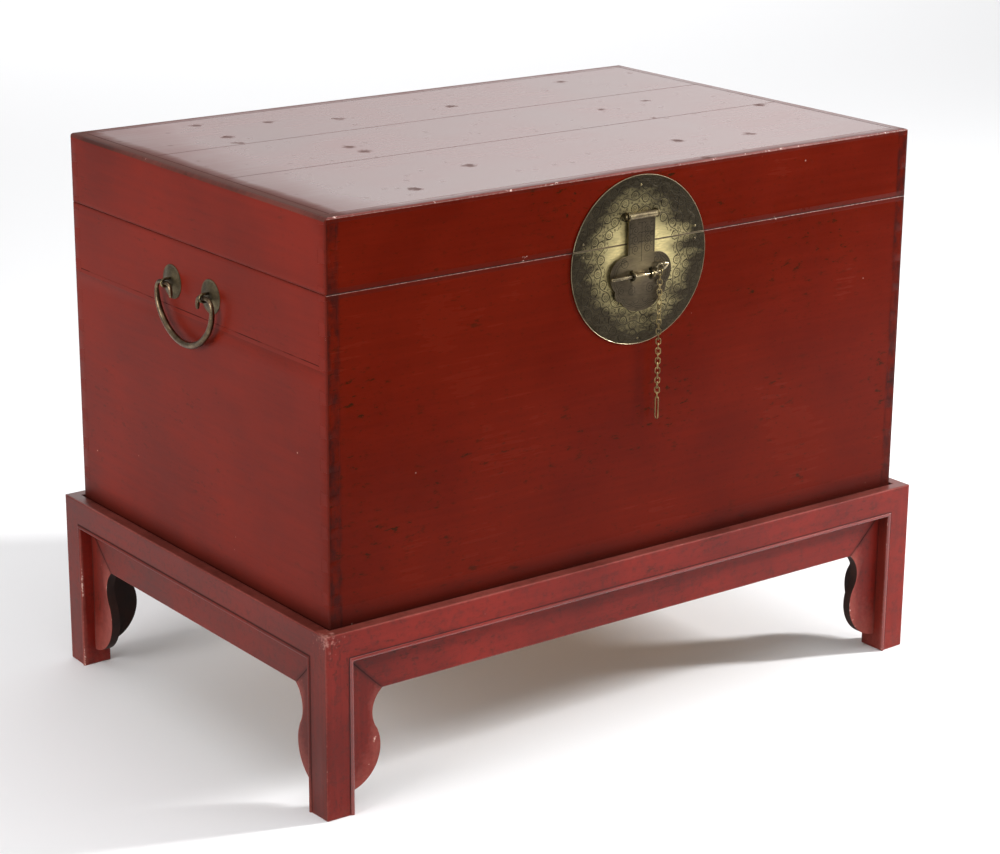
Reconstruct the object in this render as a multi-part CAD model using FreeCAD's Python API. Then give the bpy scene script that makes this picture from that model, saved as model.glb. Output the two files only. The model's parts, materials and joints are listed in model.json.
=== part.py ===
"""Red lacquered trunk with a lift-up lid, standing on a low frame with bracketed legs.

Millimetres. X runs along the front to the right, Y to the back and Z up.
The origin is on the floor, under the middle of the stand.
"""
import FreeCAD
import Part
import math
import os

V = FreeCAD.Vector

# Trunk: overall sizes and boards
trunk_width = 800.0
trunk_depth = 521.0
base_height = 356.5
lid_height = 78.5
board_thickness = 14.0
bottom_thickness = 12.0
top_thickness = 14.0
end_plank_seam = 75.0
top_seam_front = -49.5
top_seam_back = 95.0
corner_ease = 1.4
top_side_round = 2.0
top_end_round = 5.0
seam_chamfer = 0.8
dovetail_pitch = 35.0
dovetail_share = 0.56
dovetail_flare = 2.2

# Stand: the trunk sits in a shallow seat inside the rim of its top frame
stand_height = 206.0
stand_ledge = 17.0
trunk_gap = 2.0
seat_depth = 5.0
frame_face = 34.0
rail_width = 45.0
bead_width = 4.5
bead_rise = 1.5
apron_height = 45.0
apron_thickness = 11.0
apron_recess = 14.0

# Bracket outline: reach beyond the leg, and height above the floor
waist_reach = 33.0
waist_height = 105.0
turn_reach = 38.5
turn_height = 83.0
belly_reach = 42.5
belly_height = 60.0
toe_height = 18.0

# Lock plate, in two halves that part at the lid seam
plate_radius = 93.0
plate_thickness = 1.4
plate_top_margin = 5.0
plate_split_gap = 0.8

# Hasp: a strap rolled round a rod, ending in a cloud-shaped head
hasp_axis_rise = 30.5
barrel_radius = 3.6
barrel_stand_off = 4.2
rod_radius = 1.8
rod_knob_radius = 3.0
rod_knob_length = 2.6
strap_width = 37.0
strap_thickness = 1.6
strap_stand_off = 1.8
strap_drop = 43.0
rod_loop_wire = 2.6
cloud_width = 85.0
cloud_height = 62.5

# Lock pin and the two staples that it passes through
pin_drop = 35.0
pin_stand_off = 6.6
pin_nose_radius = 2.1
pin_waist_radius = 1.7
pin_left_reach = 43.5
pin_step_x = -9.0
staple_spacing = 26.8
staple_wire = 2.4
staple_slot_side = 0.6
staple_slot_end = 1.6
eye_offset_x = 24.0
eye_rise = 5.0
eye_hole_radius = 3.0
eye_wall = 2.5
leaf_thickness = 2.2
leaf_reach = 12.0

# Chain
link_wire = 1.2
link_sides = 4
link_inner_width = 3.2
link_inner_length = 6.0
link_slack = 0.5
link_count = 26
chain_split = 8
loop_inner_length = 24.0
loop_inner_width = 3.6

# Bail handles on the trunk's two ends
handle_drop = 47.5
post_spacing = 80.0
rosette_radius = 19.0
rosette_height = 3.0
rosette_rim = 0.8
rosette_sides = 20
eye_post_offset = 9.5
eye_post_wire = 3.0
bail_half_width = 57.5
bail_depth = 59.5
bail_shoulder_radius = 10.0
bail_side_radius = 42.0
bail_end_radius = 2.3
bail_middle_radius = 3.7
tail_inset = 12.0
tail_bend = 8.0
tail_length = 6.0
bail_spans = (1, 3, 1, 3, 4, 4)

# Lid hinges on the back
hinge_inset = 150.0
leaf_width = 64.0
leaf_height = 42.0
leaf_plate = 1.6
hinge_barrel_radius = 4.2
hinge_pin_radius = 2.0
hinge_pin_end = 1.0
hinge_stand_off = 4.6

# Faces round a bent wire of the staples and posts
hairpin_sides = 6

# Clearances
running_gap = 0.05
side_gap = 0.3
loose_gap = 0.3
leaf_relief = 0.6

# Places worked out from the sizes above
half_width = trunk_width / 2
half_depth = trunk_depth / 2
stand_half_width = half_width + stand_ledge
stand_half_depth = half_depth + stand_ledge
rim_width = stand_ledge - trunk_gap
trunk_bottom = stand_height - seat_depth
seam = trunk_bottom + base_height
lid_top = seam + lid_height
rail_bottom = stand_height - frame_face
apron_bottom = rail_bottom - apron_height
plate_centre = lid_top - plate_top_margin - plate_radius
plate_face = -half_depth - plate_thickness
hasp_axis_y = plate_face - barrel_stand_off
hasp_axis_z = seam + hasp_axis_rise
pin_y = plate_face - pin_stand_off
pin_z = seam - pin_drop
eye_z = pin_z + eye_rise
link_pitch = link_inner_length - link_slack
handle_z = seam - handle_drop
bail_x = -half_width - eye_post_offset
hinge_y = half_depth + hinge_stand_off
hinge_xs = (hinge_inset - half_width, half_width - hinge_inset)
margin = 10.0
OUT = V(0, -1, 0)
UP = V(0, 0, 1)

parts = {}


def box(low, high):
    """A box between two opposite corners."""
    size = V(*high) - V(*low)
    return Part.makeBox(size.x, size.y, size.z, V(*low))


def rod(radius, start, end):
    """A round bar between two points."""
    start, end = V(*start), V(*end)
    return Part.makeCylinder(radius, (end - start).Length, start, end - start)


def outline(start, steps):
    """A flat face: a point is a straight edge to it, a pair is an arc through the first to the second."""
    edges = []
    here = start
    for step in steps + [start]:
        if isinstance(step, tuple):
            end = step[1]
            edges.append(Part.Arc(here, step[0], end).toShape())
        else:
            end = step
            if (end - here).Length > 1e-6:
                edges.append(Part.makeLine(here, end))
        here = end
    return Part.Face(Part.Wire(edges))


def polygon(corners):
    """A flat face with straight edges."""
    return Part.Face(Part.makePolygon(corners + corners[:1]))


def skinned(rings, closed, bent=False):
    """A solid of flat faces between rings of corners; bent ones are halved into triangles."""
    spans = list(zip(rings, rings[1:]))
    faces = []
    if closed:
        spans.append((rings[-1], rings[0]))
    else:
        faces = [polygon(rings[0]), polygon(rings[-1])]
    for here, following in spans:
        for side in range(len(here)):
            a, b, c, d = here[side - 1], here[side], following[side], following[side - 1]
            faces += [polygon([a, b, c]), polygon([a, c, d])] if bent else [polygon([a, b, c, d])]
    solid = Part.Solid(Part.makeShell(faces))
    return solid if solid.Volume > 0 else solid.reversed()


def mirror_x(shape):
    return shape.mirror(V(0, 0, 0), V(1, 0, 0))


def mirror_y(shape):
    return shape.mirror(V(0, 0, 0), V(0, 1, 0))


def turned(shape, angle):
    """A copy of the shape turned about the vertical through the origin."""
    copy = shape.copy()
    copy.rotate(V(0, 0, 0), V(0, 0, 1), angle)
    return copy


def stand_leg():
    """The front left leg: a post with a bead on both inner edges and a top pointed by two mitres."""
    x, y = -stand_half_width, -stand_half_depth
    bead = frame_face - bead_width
    bead_middle = frame_face - bead_width / 2
    section = outline(V(x, y, 0), [
        V(x + bead, y, 0),
        (V(x + bead_middle, y - bead_rise, 0), V(x + frame_face, y, 0)),
        V(x + frame_face, y + frame_face, 0),
        V(x, y + frame_face, 0),
        (V(x - bead_rise, y + bead_middle, 0), V(x, y + bead, 0)),
    ])
    post = section.extrude(V(0, 0, stand_height))
    top = stand_height
    far = frame_face + margin
    below_front = outline(V(x - margin, y - margin, top + margin), [
        V(x + far, y - margin, top - far),
        V(x + far, y - margin, -margin),
        V(x - margin, y - margin, -margin),
    ]).extrude(V(0, far + margin, 0))
    below_side = outline(V(x - margin, y - margin, top + margin), [
        V(x - margin, y + far, top - far),
        V(x - margin, y + far, -margin),
        V(x - margin, y - margin, -margin),
    ]).extrude(V(far + margin, 0, 0))
    return post.common(below_front).common(below_side)


def stand_rail(half_length, half_offset):
    """A top rail along X with its outer face at -half_offset, mitred in plan and in elevation."""
    y, top = -half_offset, stand_height
    bead = rail_bottom + bead_width
    section = outline(V(-half_length, y, top), [
        V(-half_length, y + rim_width, top),
        V(-half_length, y + rim_width, trunk_bottom),
        V(-half_length, y + rail_width, trunk_bottom),
        V(-half_length, y + rail_width, rail_bottom),
        V(-half_length, y, rail_bottom),
        (V(-half_length, y - bead_rise, rail_bottom + bead_width / 2), V(-half_length, y, bead)),
    ])
    bar = section.extrude(V(2 * half_length, 0, 0))
    wide = half_length + margin
    in_plan = half_length - rail_width - margin
    plan = outline(V(-wide, y - margin, 0), [
        V(wide, y - margin, 0),
        V(in_plan, y + rail_width + margin, 0),
        V(-in_plan, y + rail_width + margin, 0),
    ]).extrude(V(0, 0, top + margin))
    low = half_length - frame_face - margin
    elevation = outline(V(-wide, y - margin, top + margin), [
        V(wide, y - margin, top + margin),
        V(low, y - margin, rail_bottom - margin),
        V(-low, y - margin, rail_bottom - margin),
    ]).extrude(V(0, rail_width + 2 * margin, 0))
    return bar.common(plan).common(elevation)


def stand_apron(half_length, half_offset):
    """The apron under a rail, set back from its face and mitred to the brackets at both ends."""
    y = apron_recess - half_offset
    long_end = half_length - frame_face
    short_end = long_end - apron_height
    face = outline(V(-long_end, y, rail_bottom), [
        V(long_end, y, rail_bottom),
        V(short_end, y, apron_bottom),
        V(-short_end, y, apron_bottom),
    ])
    return face.extrude(V(0, apron_thickness, 0))


def stand_bracket(half_length, half_offset):
    """The scalloped bracket at the left leg of a side: hollow waist, full belly, tapering to the leg."""
    x, y = frame_face - half_length, apron_recess - half_offset
    face = outline(V(x, y, rail_bottom), [
        V(x + apron_height, y, apron_bottom),
        (V(x + waist_reach, y, waist_height), V(x + turn_reach, y, turn_height)),
        (V(x + belly_reach, y, belly_height), V(x, y, toe_height)),
    ])
    return face.extrude(V(0, apron_thickness, 0))


def make_stand():
    leg = stand_leg()
    parts["leg_front_left"] = leg
    parts["leg_front_right"] = mirror_x(leg)
    parts["leg_back_left"] = mirror_y(leg)
    parts["leg_back_right"] = mirror_x(mirror_y(leg))
    long_side = (stand_half_width, stand_half_depth)
    short_side = (stand_half_depth, stand_half_width)
    sides = (("front", 0, long_side), ("right", 90, short_side),
             ("back", 180, long_side), ("left", 270, short_side))
    for name, angle, lengths in sides:
        bracket = stand_bracket(*lengths)
        parts["rail_" + name] = turned(stand_rail(*lengths), angle)
        parts["apron_" + name] = turned(stand_apron(*lengths), angle)
        parts["bracket_" + name + "_a"] = turned(bracket, angle)
        parts["bracket_" + name + "_b"] = turned(mirror_x(bracket), angle)


def eased_rectangle(low, high, eases, place):
    """A rectangle whose four corners, from the low one round, are rounded or cut by (kind, size)."""
    corners = [low, (high[0], low[1]), high, (low[0], high[1])]
    runs = [(1, 0), (0, 1), (-1, 0), (0, -1)]
    steps = []
    for index, (kind, size) in enumerate(eases):
        (a, b), into, out = corners[index], runs[index - 1], runs[index]
        before = place(a - into[0] * size, b - into[1] * size)
        after = place(a + out[0] * size, b + out[1] * size)
        inset = size * (1 - math.sqrt(0.5))
        middle = place(a + (out[0] - into[0]) * inset, b + (out[1] - into[1]) * inset)
        steps += [before, (middle, after)] if kind == "round" else [before, after]
    return outline(steps[-1] if not isinstance(steps[-1], tuple) else steps[-1][1], steps)


def envelope(low, high, bottom, top_ends, top_sides):
    """The eased block that a set of joined boards fills: plan, front and side profiles crossed."""
    upright = ("cut", corner_ease)
    plan = eased_rectangle((-half_width, -half_depth), (half_width, half_depth), [upright] * 4,
                           lambda x, y: V(x, y, low)).extrude(V(0, 0, high - low))
    front = eased_rectangle((-half_width, low), (half_width, high), [bottom, bottom, top_ends, top_ends],
                            lambda x, z: V(x, -half_depth, z)).extrude(V(0, trunk_depth, 0))
    side = eased_rectangle((-half_depth, low), (half_depth, high), [bottom, bottom, top_sides, top_sides],
                           lambda y, z: V(-half_width, y, z)).extrude(V(trunk_width, 0, 0))
    return plan.common(front).common(side)


def dovetails(low, high):
    """The tails of the left end board at its front edge, widening towards the front face."""
    count = max(2, round((high - low) / dovetail_pitch))
    pitch = (high - low) / count
    half_tail = pitch * dovetail_share / 2
    shoulder = board_thickness - half_depth
    tails = []
    for index in range(count):
        z = low + pitch * (index + 0.5)
        face = outline(V(-half_width, shoulder, z - half_tail), [
            V(-half_width, -half_depth, z - half_tail - dovetail_flare),
            V(-half_width, -half_depth, z + half_tail + dovetail_flare),
            V(-half_width, shoulder, z + half_tail),
        ])
        tails.append(face.extrude(V(board_thickness, 0, 0)))
    return tails


def frame_boards(low, high, shell):
    """The front, back, left and right boards of a dovetailed frame, eased to the shell."""
    front_left = dovetails(low, high)
    left_tails = front_left + [mirror_y(tail) for tail in front_left]
    front_tails = front_left + [mirror_x(tail) for tail in front_left]
    inner_x = half_width - board_thickness
    inner_y = half_depth - board_thickness
    left = box((-half_width, -inner_y, low), (-inner_x, inner_y, high)).multiFuse(left_tails)
    front = box((-half_width, -half_depth, low), (half_width, -inner_y, high)).cut(front_tails)
    left = left.removeSplitter().common(shell)
    front = front.common(shell)
    return front, mirror_y(front), left, mirror_x(left)


def make_trunk_boards():
    sharp, eased = ("cut", 0.0), ("cut", seam_chamfer)
    shell = envelope(trunk_bottom, seam, sharp, eased, eased)
    front, back, left, right = frame_boards(trunk_bottom, seam, shell)
    parts["front_board"] = front
    parts["back_board"] = back
    split = seam - end_plank_seam
    reach = half_width + margin
    lower = box((-reach, -reach, trunk_bottom - margin), (reach, reach, split))
    upper = box((-reach, -reach, split), (reach, reach, seam + margin))
    for name, end in (("left", left), ("right", right)):
        parts[name + "_end_lower"] = end.common(lower)
        parts[name + "_end_upper"] = end.common(upper)
    inner_x = half_width - board_thickness
    inner_y = half_depth - board_thickness
    floor_top = trunk_bottom + bottom_thickness
    third = 2 * inner_y / 3
    for index, name in enumerate(("front", "middle", "back")):
        y = -inner_y + third * index
        parts["bottom_plank_" + name] = box((-inner_x, y, trunk_bottom), (inner_x, y + third, floor_top))


def make_lid_boards():
    """A dovetailed frame with three planks set flush into it."""
    ends, sides = ("round", top_end_round), ("round", top_side_round)
    shell = envelope(seam, lid_top, ("cut", seam_chamfer), ends, sides)
    front, back, left, right = frame_boards(seam, lid_top, shell)
    parts["lid_front_board"] = front
    parts["lid_back_board"] = back
    parts["lid_left_board"] = left
    parts["lid_right_board"] = right
    inner_x = half_width - board_thickness
    inner_y = half_depth - board_thickness
    cuts = (("front", -inner_y, top_seam_front), ("middle", top_seam_front, top_seam_back),
            ("back", top_seam_back, inner_y))
    for name, near, far in cuts:
        parts["lid_plank_" + name] = box((-inner_x, near, lid_top - top_thickness), (inner_x, far, lid_top))


def make_lock_plates():
    """A round plate split level with the lid seam."""
    disc = rod(plate_radius, (0, -half_depth, plate_centre), (0, plate_face, plate_centre))
    reach = plate_radius + margin
    near, far = plate_face - margin, margin - half_depth
    half_gap = plate_split_gap / 2
    above = box((-reach, near, seam + half_gap), (reach, far, plate_centre + reach))
    below = box((-reach, near, plate_centre - reach), (reach, far, seam - half_gap))
    parts["lock_plate_upper"] = disc.common(above)
    parts["lock_plate_lower"] = disc.common(below)


def cloud_head(top, y):
    """The hasp's head: a pair of round lobes, a small pair below them and a pointed bottom lobe."""
    half, drop = cloud_width / 2, cloud_height

    def at(x, z):
        return V(half * x, y, top - drop * z)

    right = [
        (at(0.94, 0.18), at(0.81, 0.60)),
        (at(0.80, 0.73), at(0.64, 0.79)),
        (at(0.38, 0.95), at(0.0, 1.0)),
    ]
    left = [
        (at(-0.38, 0.95), at(-0.64, 0.79)),
        (at(-0.80, 0.73), at(-0.81, 0.60)),
        (at(-0.94, 0.18), at(-0.52, 0.0)),
    ]
    return outline(at(0.52, 0.0), right + left)


def make_hasp():
    """Strap, rolled barrel and cloud head in one piece, with slots over the two staples."""
    front = plate_face - strap_stand_off - strap_thickness
    depth = V(0, strap_thickness, 0)
    half = strap_width / 2
    head_top = hasp_axis_z - strap_drop
    strap = box((-half, front, head_top - margin), (half, front + strap_thickness, hasp_axis_z))
    head = cloud_head(head_top, front).extrude(depth)
    axis = (hasp_axis_y, hasp_axis_z)
    barrel = rod(barrel_radius, (-half, *axis), (half, *axis))
    hasp = barrel.multiFuse([strap, head]).removeSplitter()
    bore = rod(rod_radius + running_gap, (-half - margin, *axis), (half + margin, *axis))
    slot_half = staple_wire / 2 + staple_slot_side
    slot_reach = pin_nose_radius + loose_gap + staple_wire + staple_slot_end
    slots = []
    for side in (-1, 1):
        x = side * staple_spacing / 2
        slots.append(box((x - slot_half, front - margin, pin_z - slot_reach),
                         (x + slot_half, plate_face, pin_z + slot_reach)))
    parts["hasp"] = hasp.cut([bore] + slots)
    loop_x = half + side_gap + rod_loop_wire / 2
    loop_bore = rod_radius + loose_gap
    loops = [hairpin(V(side * loop_x, *axis), barrel_stand_off, loop_bore, rod_loop_wire, OUT, UP)
             for side in (-1, 1)]
    parts["hasp_rod_loops"] = Part.makeCompound(loops)
    parts["hasp_rod"] = knobbed_rod(loop_x + rod_loop_wire / 2 + side_gap, *axis)


def knobbed_rod(half_length, y, z):
    """The hasp's hinge rod along X, with a round knob at each end."""
    end = half_length + rod_knob_length
    bar = rod(rod_radius, (-end, y, z), (end, y, z))
    knobs = [rod(rod_knob_radius, (side * half_length, y, z), (side * end, y, z)) for side in (-1, 1)]
    return bar.multiFuse(knobs).removeSplitter()


def make_lock_pin():
    """A stepped round pin with a flat leaf-shaped head pierced by an eye."""
    left = -pin_left_reach
    nose, waist = pin_nose_radius, pin_waist_radius
    neck_end = eye_offset_x - eye_hole_radius
    thick = rod(nose, (left, pin_y, pin_z), (pin_step_x, pin_y, pin_z))
    thin = rod(waist, (pin_step_x - nose, pin_y, pin_z), (neck_end - waist, pin_y, pin_z))
    back, front = pin_y + leaf_thickness / 2, pin_y - leaf_thickness / 2
    eye_outer = eye_hole_radius + eye_wall
    disc = rod(eye_outer, (eye_offset_x, back, eye_z), (eye_offset_x, front, eye_z))
    tip = outline(V(eye_offset_x, front, eye_z + eye_outer), [
        V(eye_offset_x + leaf_reach, front, eye_z + eye_hole_radius),
        V(eye_offset_x, front, eye_z - eye_outer),
    ]).extrude(V(0, leaf_thickness, 0))
    neck = box((eye_offset_x - eye_outer, front, pin_z - waist), (neck_end, back, eye_z))
    hole = rod(eye_hole_radius, (eye_offset_x, back + 1, eye_z), (eye_offset_x, front - 1, eye_z))
    parts["lock_pin"] = thick.multiFuse([thin, disc, tip, neck]).removeSplitter().cut(hole)
    bore = pin_nose_radius + loose_gap
    staples = [hairpin(V(side * staple_spacing / 2, pin_y, pin_z), pin_stand_off, bore, staple_wire, OUT, UP)
               for side in (-1, 1)]
    parts["lock_staples"] = Part.makeCompound(staples)


def wire_rings(path, sides, wire, normal, closed):
    """Rings of a flat bent wire, one at each corner of its path, in the plane that halves the bend."""
    rings = []
    last = len(path) - 1
    spread = wire / 2 / math.cos(math.pi / sides)
    for index, point in enumerate(path):
        after = path[(index + 1) % len(path)] - point
        before = point - path[index - 1]
        if not closed and index == 0:
            before = after
        if not closed and index == last:
            after = before
        before, after = V(before).normalize(), V(after).normalize()
        outward = (before + after).cross(normal).normalize()
        stretch = 1 / math.sqrt((1 + before.dot(after)) / 2)
        ring = []
        for side in range(sides):
            turn = 2 * math.pi * (side + 0.5) / sides
            across = outward * (spread * stretch * math.cos(turn))
            ring.append(point + across + normal * (spread * math.sin(turn)))
        rings.append(ring)
    return rings


def bent_wire(path, sides, wire, normal, closed):
    """A faceted wire along a flat path, closed into a link or open with flat ends."""
    return skinned(wire_rings(path, sides, wire, normal, closed), closed)


def half_turn(centre, reach, out, across):
    """Four corners that lead a wire's centre line round a half circle of the given reach."""
    corners = []
    spread = reach / math.cos(math.pi / 8)
    for step in range(4):
        angle = math.pi * (step + 0.5) / 4
        corners.append(centre + across * (spread * math.cos(angle)) + out * (spread * math.sin(angle)))
    return corners


def hairpin(centre, foot, inner_radius, wire, out, across):
    """A staple of bent wire: two legs from its foot and a round bend about the centre."""
    reach = inner_radius + wire / 2
    legs = [centre + across * (side * reach) - out * foot for side in (1, -1)]
    path = legs[:1] + half_turn(centre, reach, out, across) + legs[1:]
    return bent_wire(path, hairpin_sides, wire, out.cross(across), False)


def wire_link(inner_length, inner_width, wire):
    """One oval link in the XZ plane, centred on the origin."""
    reach = (inner_width + wire) / 2
    straight = (inner_length - inner_width) / 2
    upper = half_turn(V(0, 0, straight), reach, V(0, 0, 1), V(1, 0, 0))
    lower = half_turn(V(0, 0, -straight), reach, V(0, 0, -1), V(-1, 0, 0))
    return bent_wire(upper + lower, link_sides, wire, V(0, 1, 0), True)


def make_chain():
    """Oval links, each turned a quarter from the last, from the pin's eye down to a long end loop."""
    link = wire_link(link_inner_length, link_inner_width, link_wire)
    rim_top = eye_z - eye_hole_radius
    first = rim_top + link_slack - link_inner_length / 2
    links = []
    for index in range(link_count):
        copy = link.copy()
        if index % 2 == 0:
            copy.rotate(V(0, 0, 0), V(0, 0, 1), 90)
        copy.translate(V(eye_offset_x, pin_y, first - link_pitch * index))
        links.append(copy)
    parts["chain_upper"] = Part.makeCompound(links[:chain_split])
    parts["chain_lower"] = Part.makeCompound(links[chain_split:])
    loop = wire_link(loop_inner_length, loop_inner_width, link_wire)
    if link_count % 2 == 0:
        loop.rotate(V(0, 0, 0), V(0, 0, 1), 90)
    last = first - link_pitch * (link_count - 1)
    loop.translate(V(eye_offset_x, pin_y, last - (link_inner_length + loop_inner_length) / 2 + link_slack))
    parts["chain_end_loop"] = loop


def rosette(y):
    """A raised round plate on the left end, many-sided, with a flat seat for the eye post."""
    seat = bail_end_radius + loose_gap + eye_post_wire
    levels = ((0, rosette_radius), (rosette_rim, rosette_radius), (rosette_height, seat))
    rings = []
    for rise, radius in levels:
        ring = []
        for side in range(rosette_sides):
            turn = 2 * math.pi * side / rosette_sides
            across, up = radius * math.cos(turn), radius * math.sin(turn)
            ring.append(V(-half_width - rise, y + across, handle_z + up))
        rings.append(ring)
    return skinned(rings, False)


def eye_post(y):
    """The wire post that carries a bail end, footed on its rosette."""
    foot = eye_post_offset - rosette_height
    return hairpin(V(bail_x, y, handle_z), foot, bail_end_radius + loose_gap, eye_post_wire, V(-1, 0, 0), UP)


def bail_half_path():
    """Edges of half the bail's centre line, from the tail's tip to the lowest point."""
    def at(y, z):
        return V(bail_x, y, handle_z + z)

    diagonal = math.sqrt(0.5)
    post = post_spacing / 2
    tail_y = post - tail_inset
    bend_y = tail_y + tail_bend
    shoulder = bail_shoulder_radius
    shoulder_y = bail_half_width - shoulder
    depth = bail_depth - shoulder
    inset = bail_half_width - bail_side_radius
    bottom_radius = (inset ** 2 + depth ** 2 - bail_side_radius ** 2) / (2 * (depth - bail_side_radius))
    bottom_z = bottom_radius - bail_depth
    slope = math.atan2(-shoulder - bottom_z, inset)

    def on_side(angle):
        return at(inset + bail_side_radius * math.cos(angle), -shoulder + bail_side_radius * math.sin(angle))

    def on_bottom(angle):
        return at(bottom_radius * math.cos(angle), bottom_z + bottom_radius * math.sin(angle))

    return [
        Part.makeLine(at(tail_y, -tail_bend - tail_length), at(tail_y, -tail_bend)),
        Part.Arc(at(tail_y, -tail_bend),
                 at(bend_y - tail_bend * diagonal, tail_bend * (diagonal - 1)), at(bend_y, 0)).toShape(),
        Part.makeLine(at(bend_y, 0), at(shoulder_y, 0)),
        Part.Arc(at(shoulder_y, 0), at(shoulder_y + shoulder * diagonal, shoulder * (diagonal - 1)),
                 at(bail_half_width, -shoulder)).toShape(),
        Part.Arc(on_side(0), on_side(slope / 2), on_side(slope)).toShape(),
        Part.Arc(on_bottom(slope), on_bottom((slope - math.pi / 2) / 2), on_bottom(-math.pi / 2)).toShape(),
    ]


def bail():
    """The left bail: a forged eight-sided bar, thickest at the middle, hooked through both eye posts."""
    stations = []
    for edge, spans in zip(bail_half_path(), bail_spans):
        start, end = edge.FirstParameter, edge.LastParameter
        for index in range(spans):
            where = start + (end - start) * index / spans
            stations.append((edge.valueAt(where), edge.tangentAt(where)))
    swell_from = sum(bail_spans[:4])
    swell = bail_middle_radius - bail_end_radius
    rings = []
    for index, (point, along) in enumerate(stations):
        share = max(0.0, (index - swell_from) / (len(stations) - swell_from))
        rings.append(bail_ring(point, along, bail_end_radius + swell * math.sin(share * math.pi / 2)))
    lowest = bail_ring(V(bail_x, 0, handle_z - bail_depth), V(0, -1, 0), bail_middle_radius)
    other_half = [[V(corner.x, -corner.y, corner.z) for corner in ring] for ring in reversed(rings)]
    return skinned(rings + [lowest] + other_half, False, bent=True)


def bail_ring(point, along, radius):
    """An eight-sided ring across the bail's centre line."""
    inward = V(1, 0, 0).cross(along)
    corners = []
    for side in range(8):
        turn = math.pi * (side + 0.5) / 4
        corners.append(point + V(radius * math.cos(turn), 0, 0) + inward * (radius * math.sin(turn)))
    return corners


def make_handles():
    posts = (-post_spacing / 2, post_spacing / 2)
    rosettes = [rosette(y) for y in posts]
    eyes = [eye_post(y) for y in posts]
    parts["handle_rosettes"] = Part.makeCompound(rosettes + [mirror_x(shape) for shape in rosettes])
    parts["handle_eyes"] = Part.makeCompound(eyes + [mirror_x(shape) for shape in eyes])
    left = bail()
    parts["bail_left"] = left
    parts["bail_right"] = mirror_x(left)


def hinge_leaf(x, side, spans):
    """One leaf with its rolled knuckles; side is 1 above the seam and -1 below it."""
    half = leaf_width / 2
    back = half_depth + leaf_plate
    far = seam + side * leaf_height
    shoulder = seam + side * (hinge_barrel_radius + leaf_relief)
    plate = box((x - half, half_depth, min(shoulder, far)), (x + half, back, max(shoulder, far)))
    top = hinge_y + hinge_barrel_radius
    rise = math.sqrt(hinge_barrel_radius ** 2 - (hinge_y - back) ** 2)
    knuckles = []
    for start, end in spans:
        edge = x + start
        face = outline(V(edge, half_depth, shoulder), [
            V(edge, half_depth, seam),
            V(edge, hinge_y - hinge_barrel_radius, seam),
            (V(edge, hinge_y, seam - side * hinge_barrel_radius), V(edge, top, seam)),
            (V(edge, hinge_y, seam + side * hinge_barrel_radius), V(edge, back, seam + side * rise)),
            V(edge, back, shoulder),
        ])
        knuckles.append(face.extrude(V(end - start, 0, 0)))
    bore = rod(hinge_pin_radius + running_gap, (x - half - 1, hinge_y, seam), (x + half + 1, hinge_y, seam))
    return plate.multiFuse(knuckles).removeSplitter().cut(bore)


def make_hinges():
    """Two three-knuckle hinges: the middle knuckle is on the trunk, the outer two on the lid."""
    half, third = leaf_width / 2, leaf_width / 6
    gap = side_gap / 2
    middle = [(-third + gap, third - gap)]
    outer = [(-half, -third - gap), (third + gap, half)]
    lower = [hinge_leaf(x, -1, middle) for x in hinge_xs]
    upper = [hinge_leaf(x, 1, outer) for x in hinge_xs]
    reach = half + hinge_pin_end
    pins = [rod(hinge_pin_radius, (x - reach, hinge_y, seam), (x + reach, hinge_y, seam)) for x in hinge_xs]
    parts["hinge_leaves_lower"] = Part.makeCompound(lower)
    parts["hinge_leaves_upper"] = Part.makeCompound(upper)
    parts["hinge_pins"] = Part.makeCompound(pins)


make_stand()
make_trunk_boards()
make_lid_boards()
make_lock_plates()
make_hasp()
make_lock_pin()
make_chain()
make_handles()
make_hinges()

os.makedirs("parts", exist_ok=True)
for node, shape in parts.items():
    shape.exportStep("parts/" + node + ".step")
    state = "valid" if shape.isValid() else "BROKEN"
    print(node, len(shape.Solids), "solids", round(shape.Volume), "mm3", state)
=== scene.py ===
# %% [markdown]
# # A red lacquered trunk on its stand
# The trunk is a dovetailed box of thin boards under red lacquer, with a round brass lock plate on the
# front and a brass bail on each end. It sits in the rebate of a low stand. The CAD frame gives every
# piece its true size and place, and this script gives the pieces the surface that hands and years have
# left on them.

import json
import math

import bmesh
import bpy
import numpy as np
from mathutils import Matrix, Vector
from mathutils.bvhtree import BVHTree


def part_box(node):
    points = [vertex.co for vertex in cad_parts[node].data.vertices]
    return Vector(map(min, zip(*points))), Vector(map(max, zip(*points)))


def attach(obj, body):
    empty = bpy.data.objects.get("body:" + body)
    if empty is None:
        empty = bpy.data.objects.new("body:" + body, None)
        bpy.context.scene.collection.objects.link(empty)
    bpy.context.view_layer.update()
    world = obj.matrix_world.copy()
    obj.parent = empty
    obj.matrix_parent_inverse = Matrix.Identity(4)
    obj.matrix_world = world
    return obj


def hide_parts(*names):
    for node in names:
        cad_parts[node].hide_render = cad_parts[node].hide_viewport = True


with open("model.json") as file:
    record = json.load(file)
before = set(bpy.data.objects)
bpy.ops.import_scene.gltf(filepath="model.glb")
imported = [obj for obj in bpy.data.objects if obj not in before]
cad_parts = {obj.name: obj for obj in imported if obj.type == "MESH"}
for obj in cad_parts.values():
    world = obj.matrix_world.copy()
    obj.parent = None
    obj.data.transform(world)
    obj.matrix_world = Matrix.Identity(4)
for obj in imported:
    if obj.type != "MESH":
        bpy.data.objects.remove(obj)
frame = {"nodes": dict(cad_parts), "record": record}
bodies = frame["record"]["behaviour"]["bodies"]
body_of_node = {node: body for body, nodes in bodies.items() for node in nodes}
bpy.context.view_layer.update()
MM = 0.001

# %% [markdown]
# The photograph was taken from the front left, a little above the lid, with a long lens: the trunk's
# sides run almost parallel. A camera is an object that looks along its own -Z, so its matrix is written
# here from the direction back to the photographer, and turned a little, because the picture isn't quite
# level.

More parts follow.
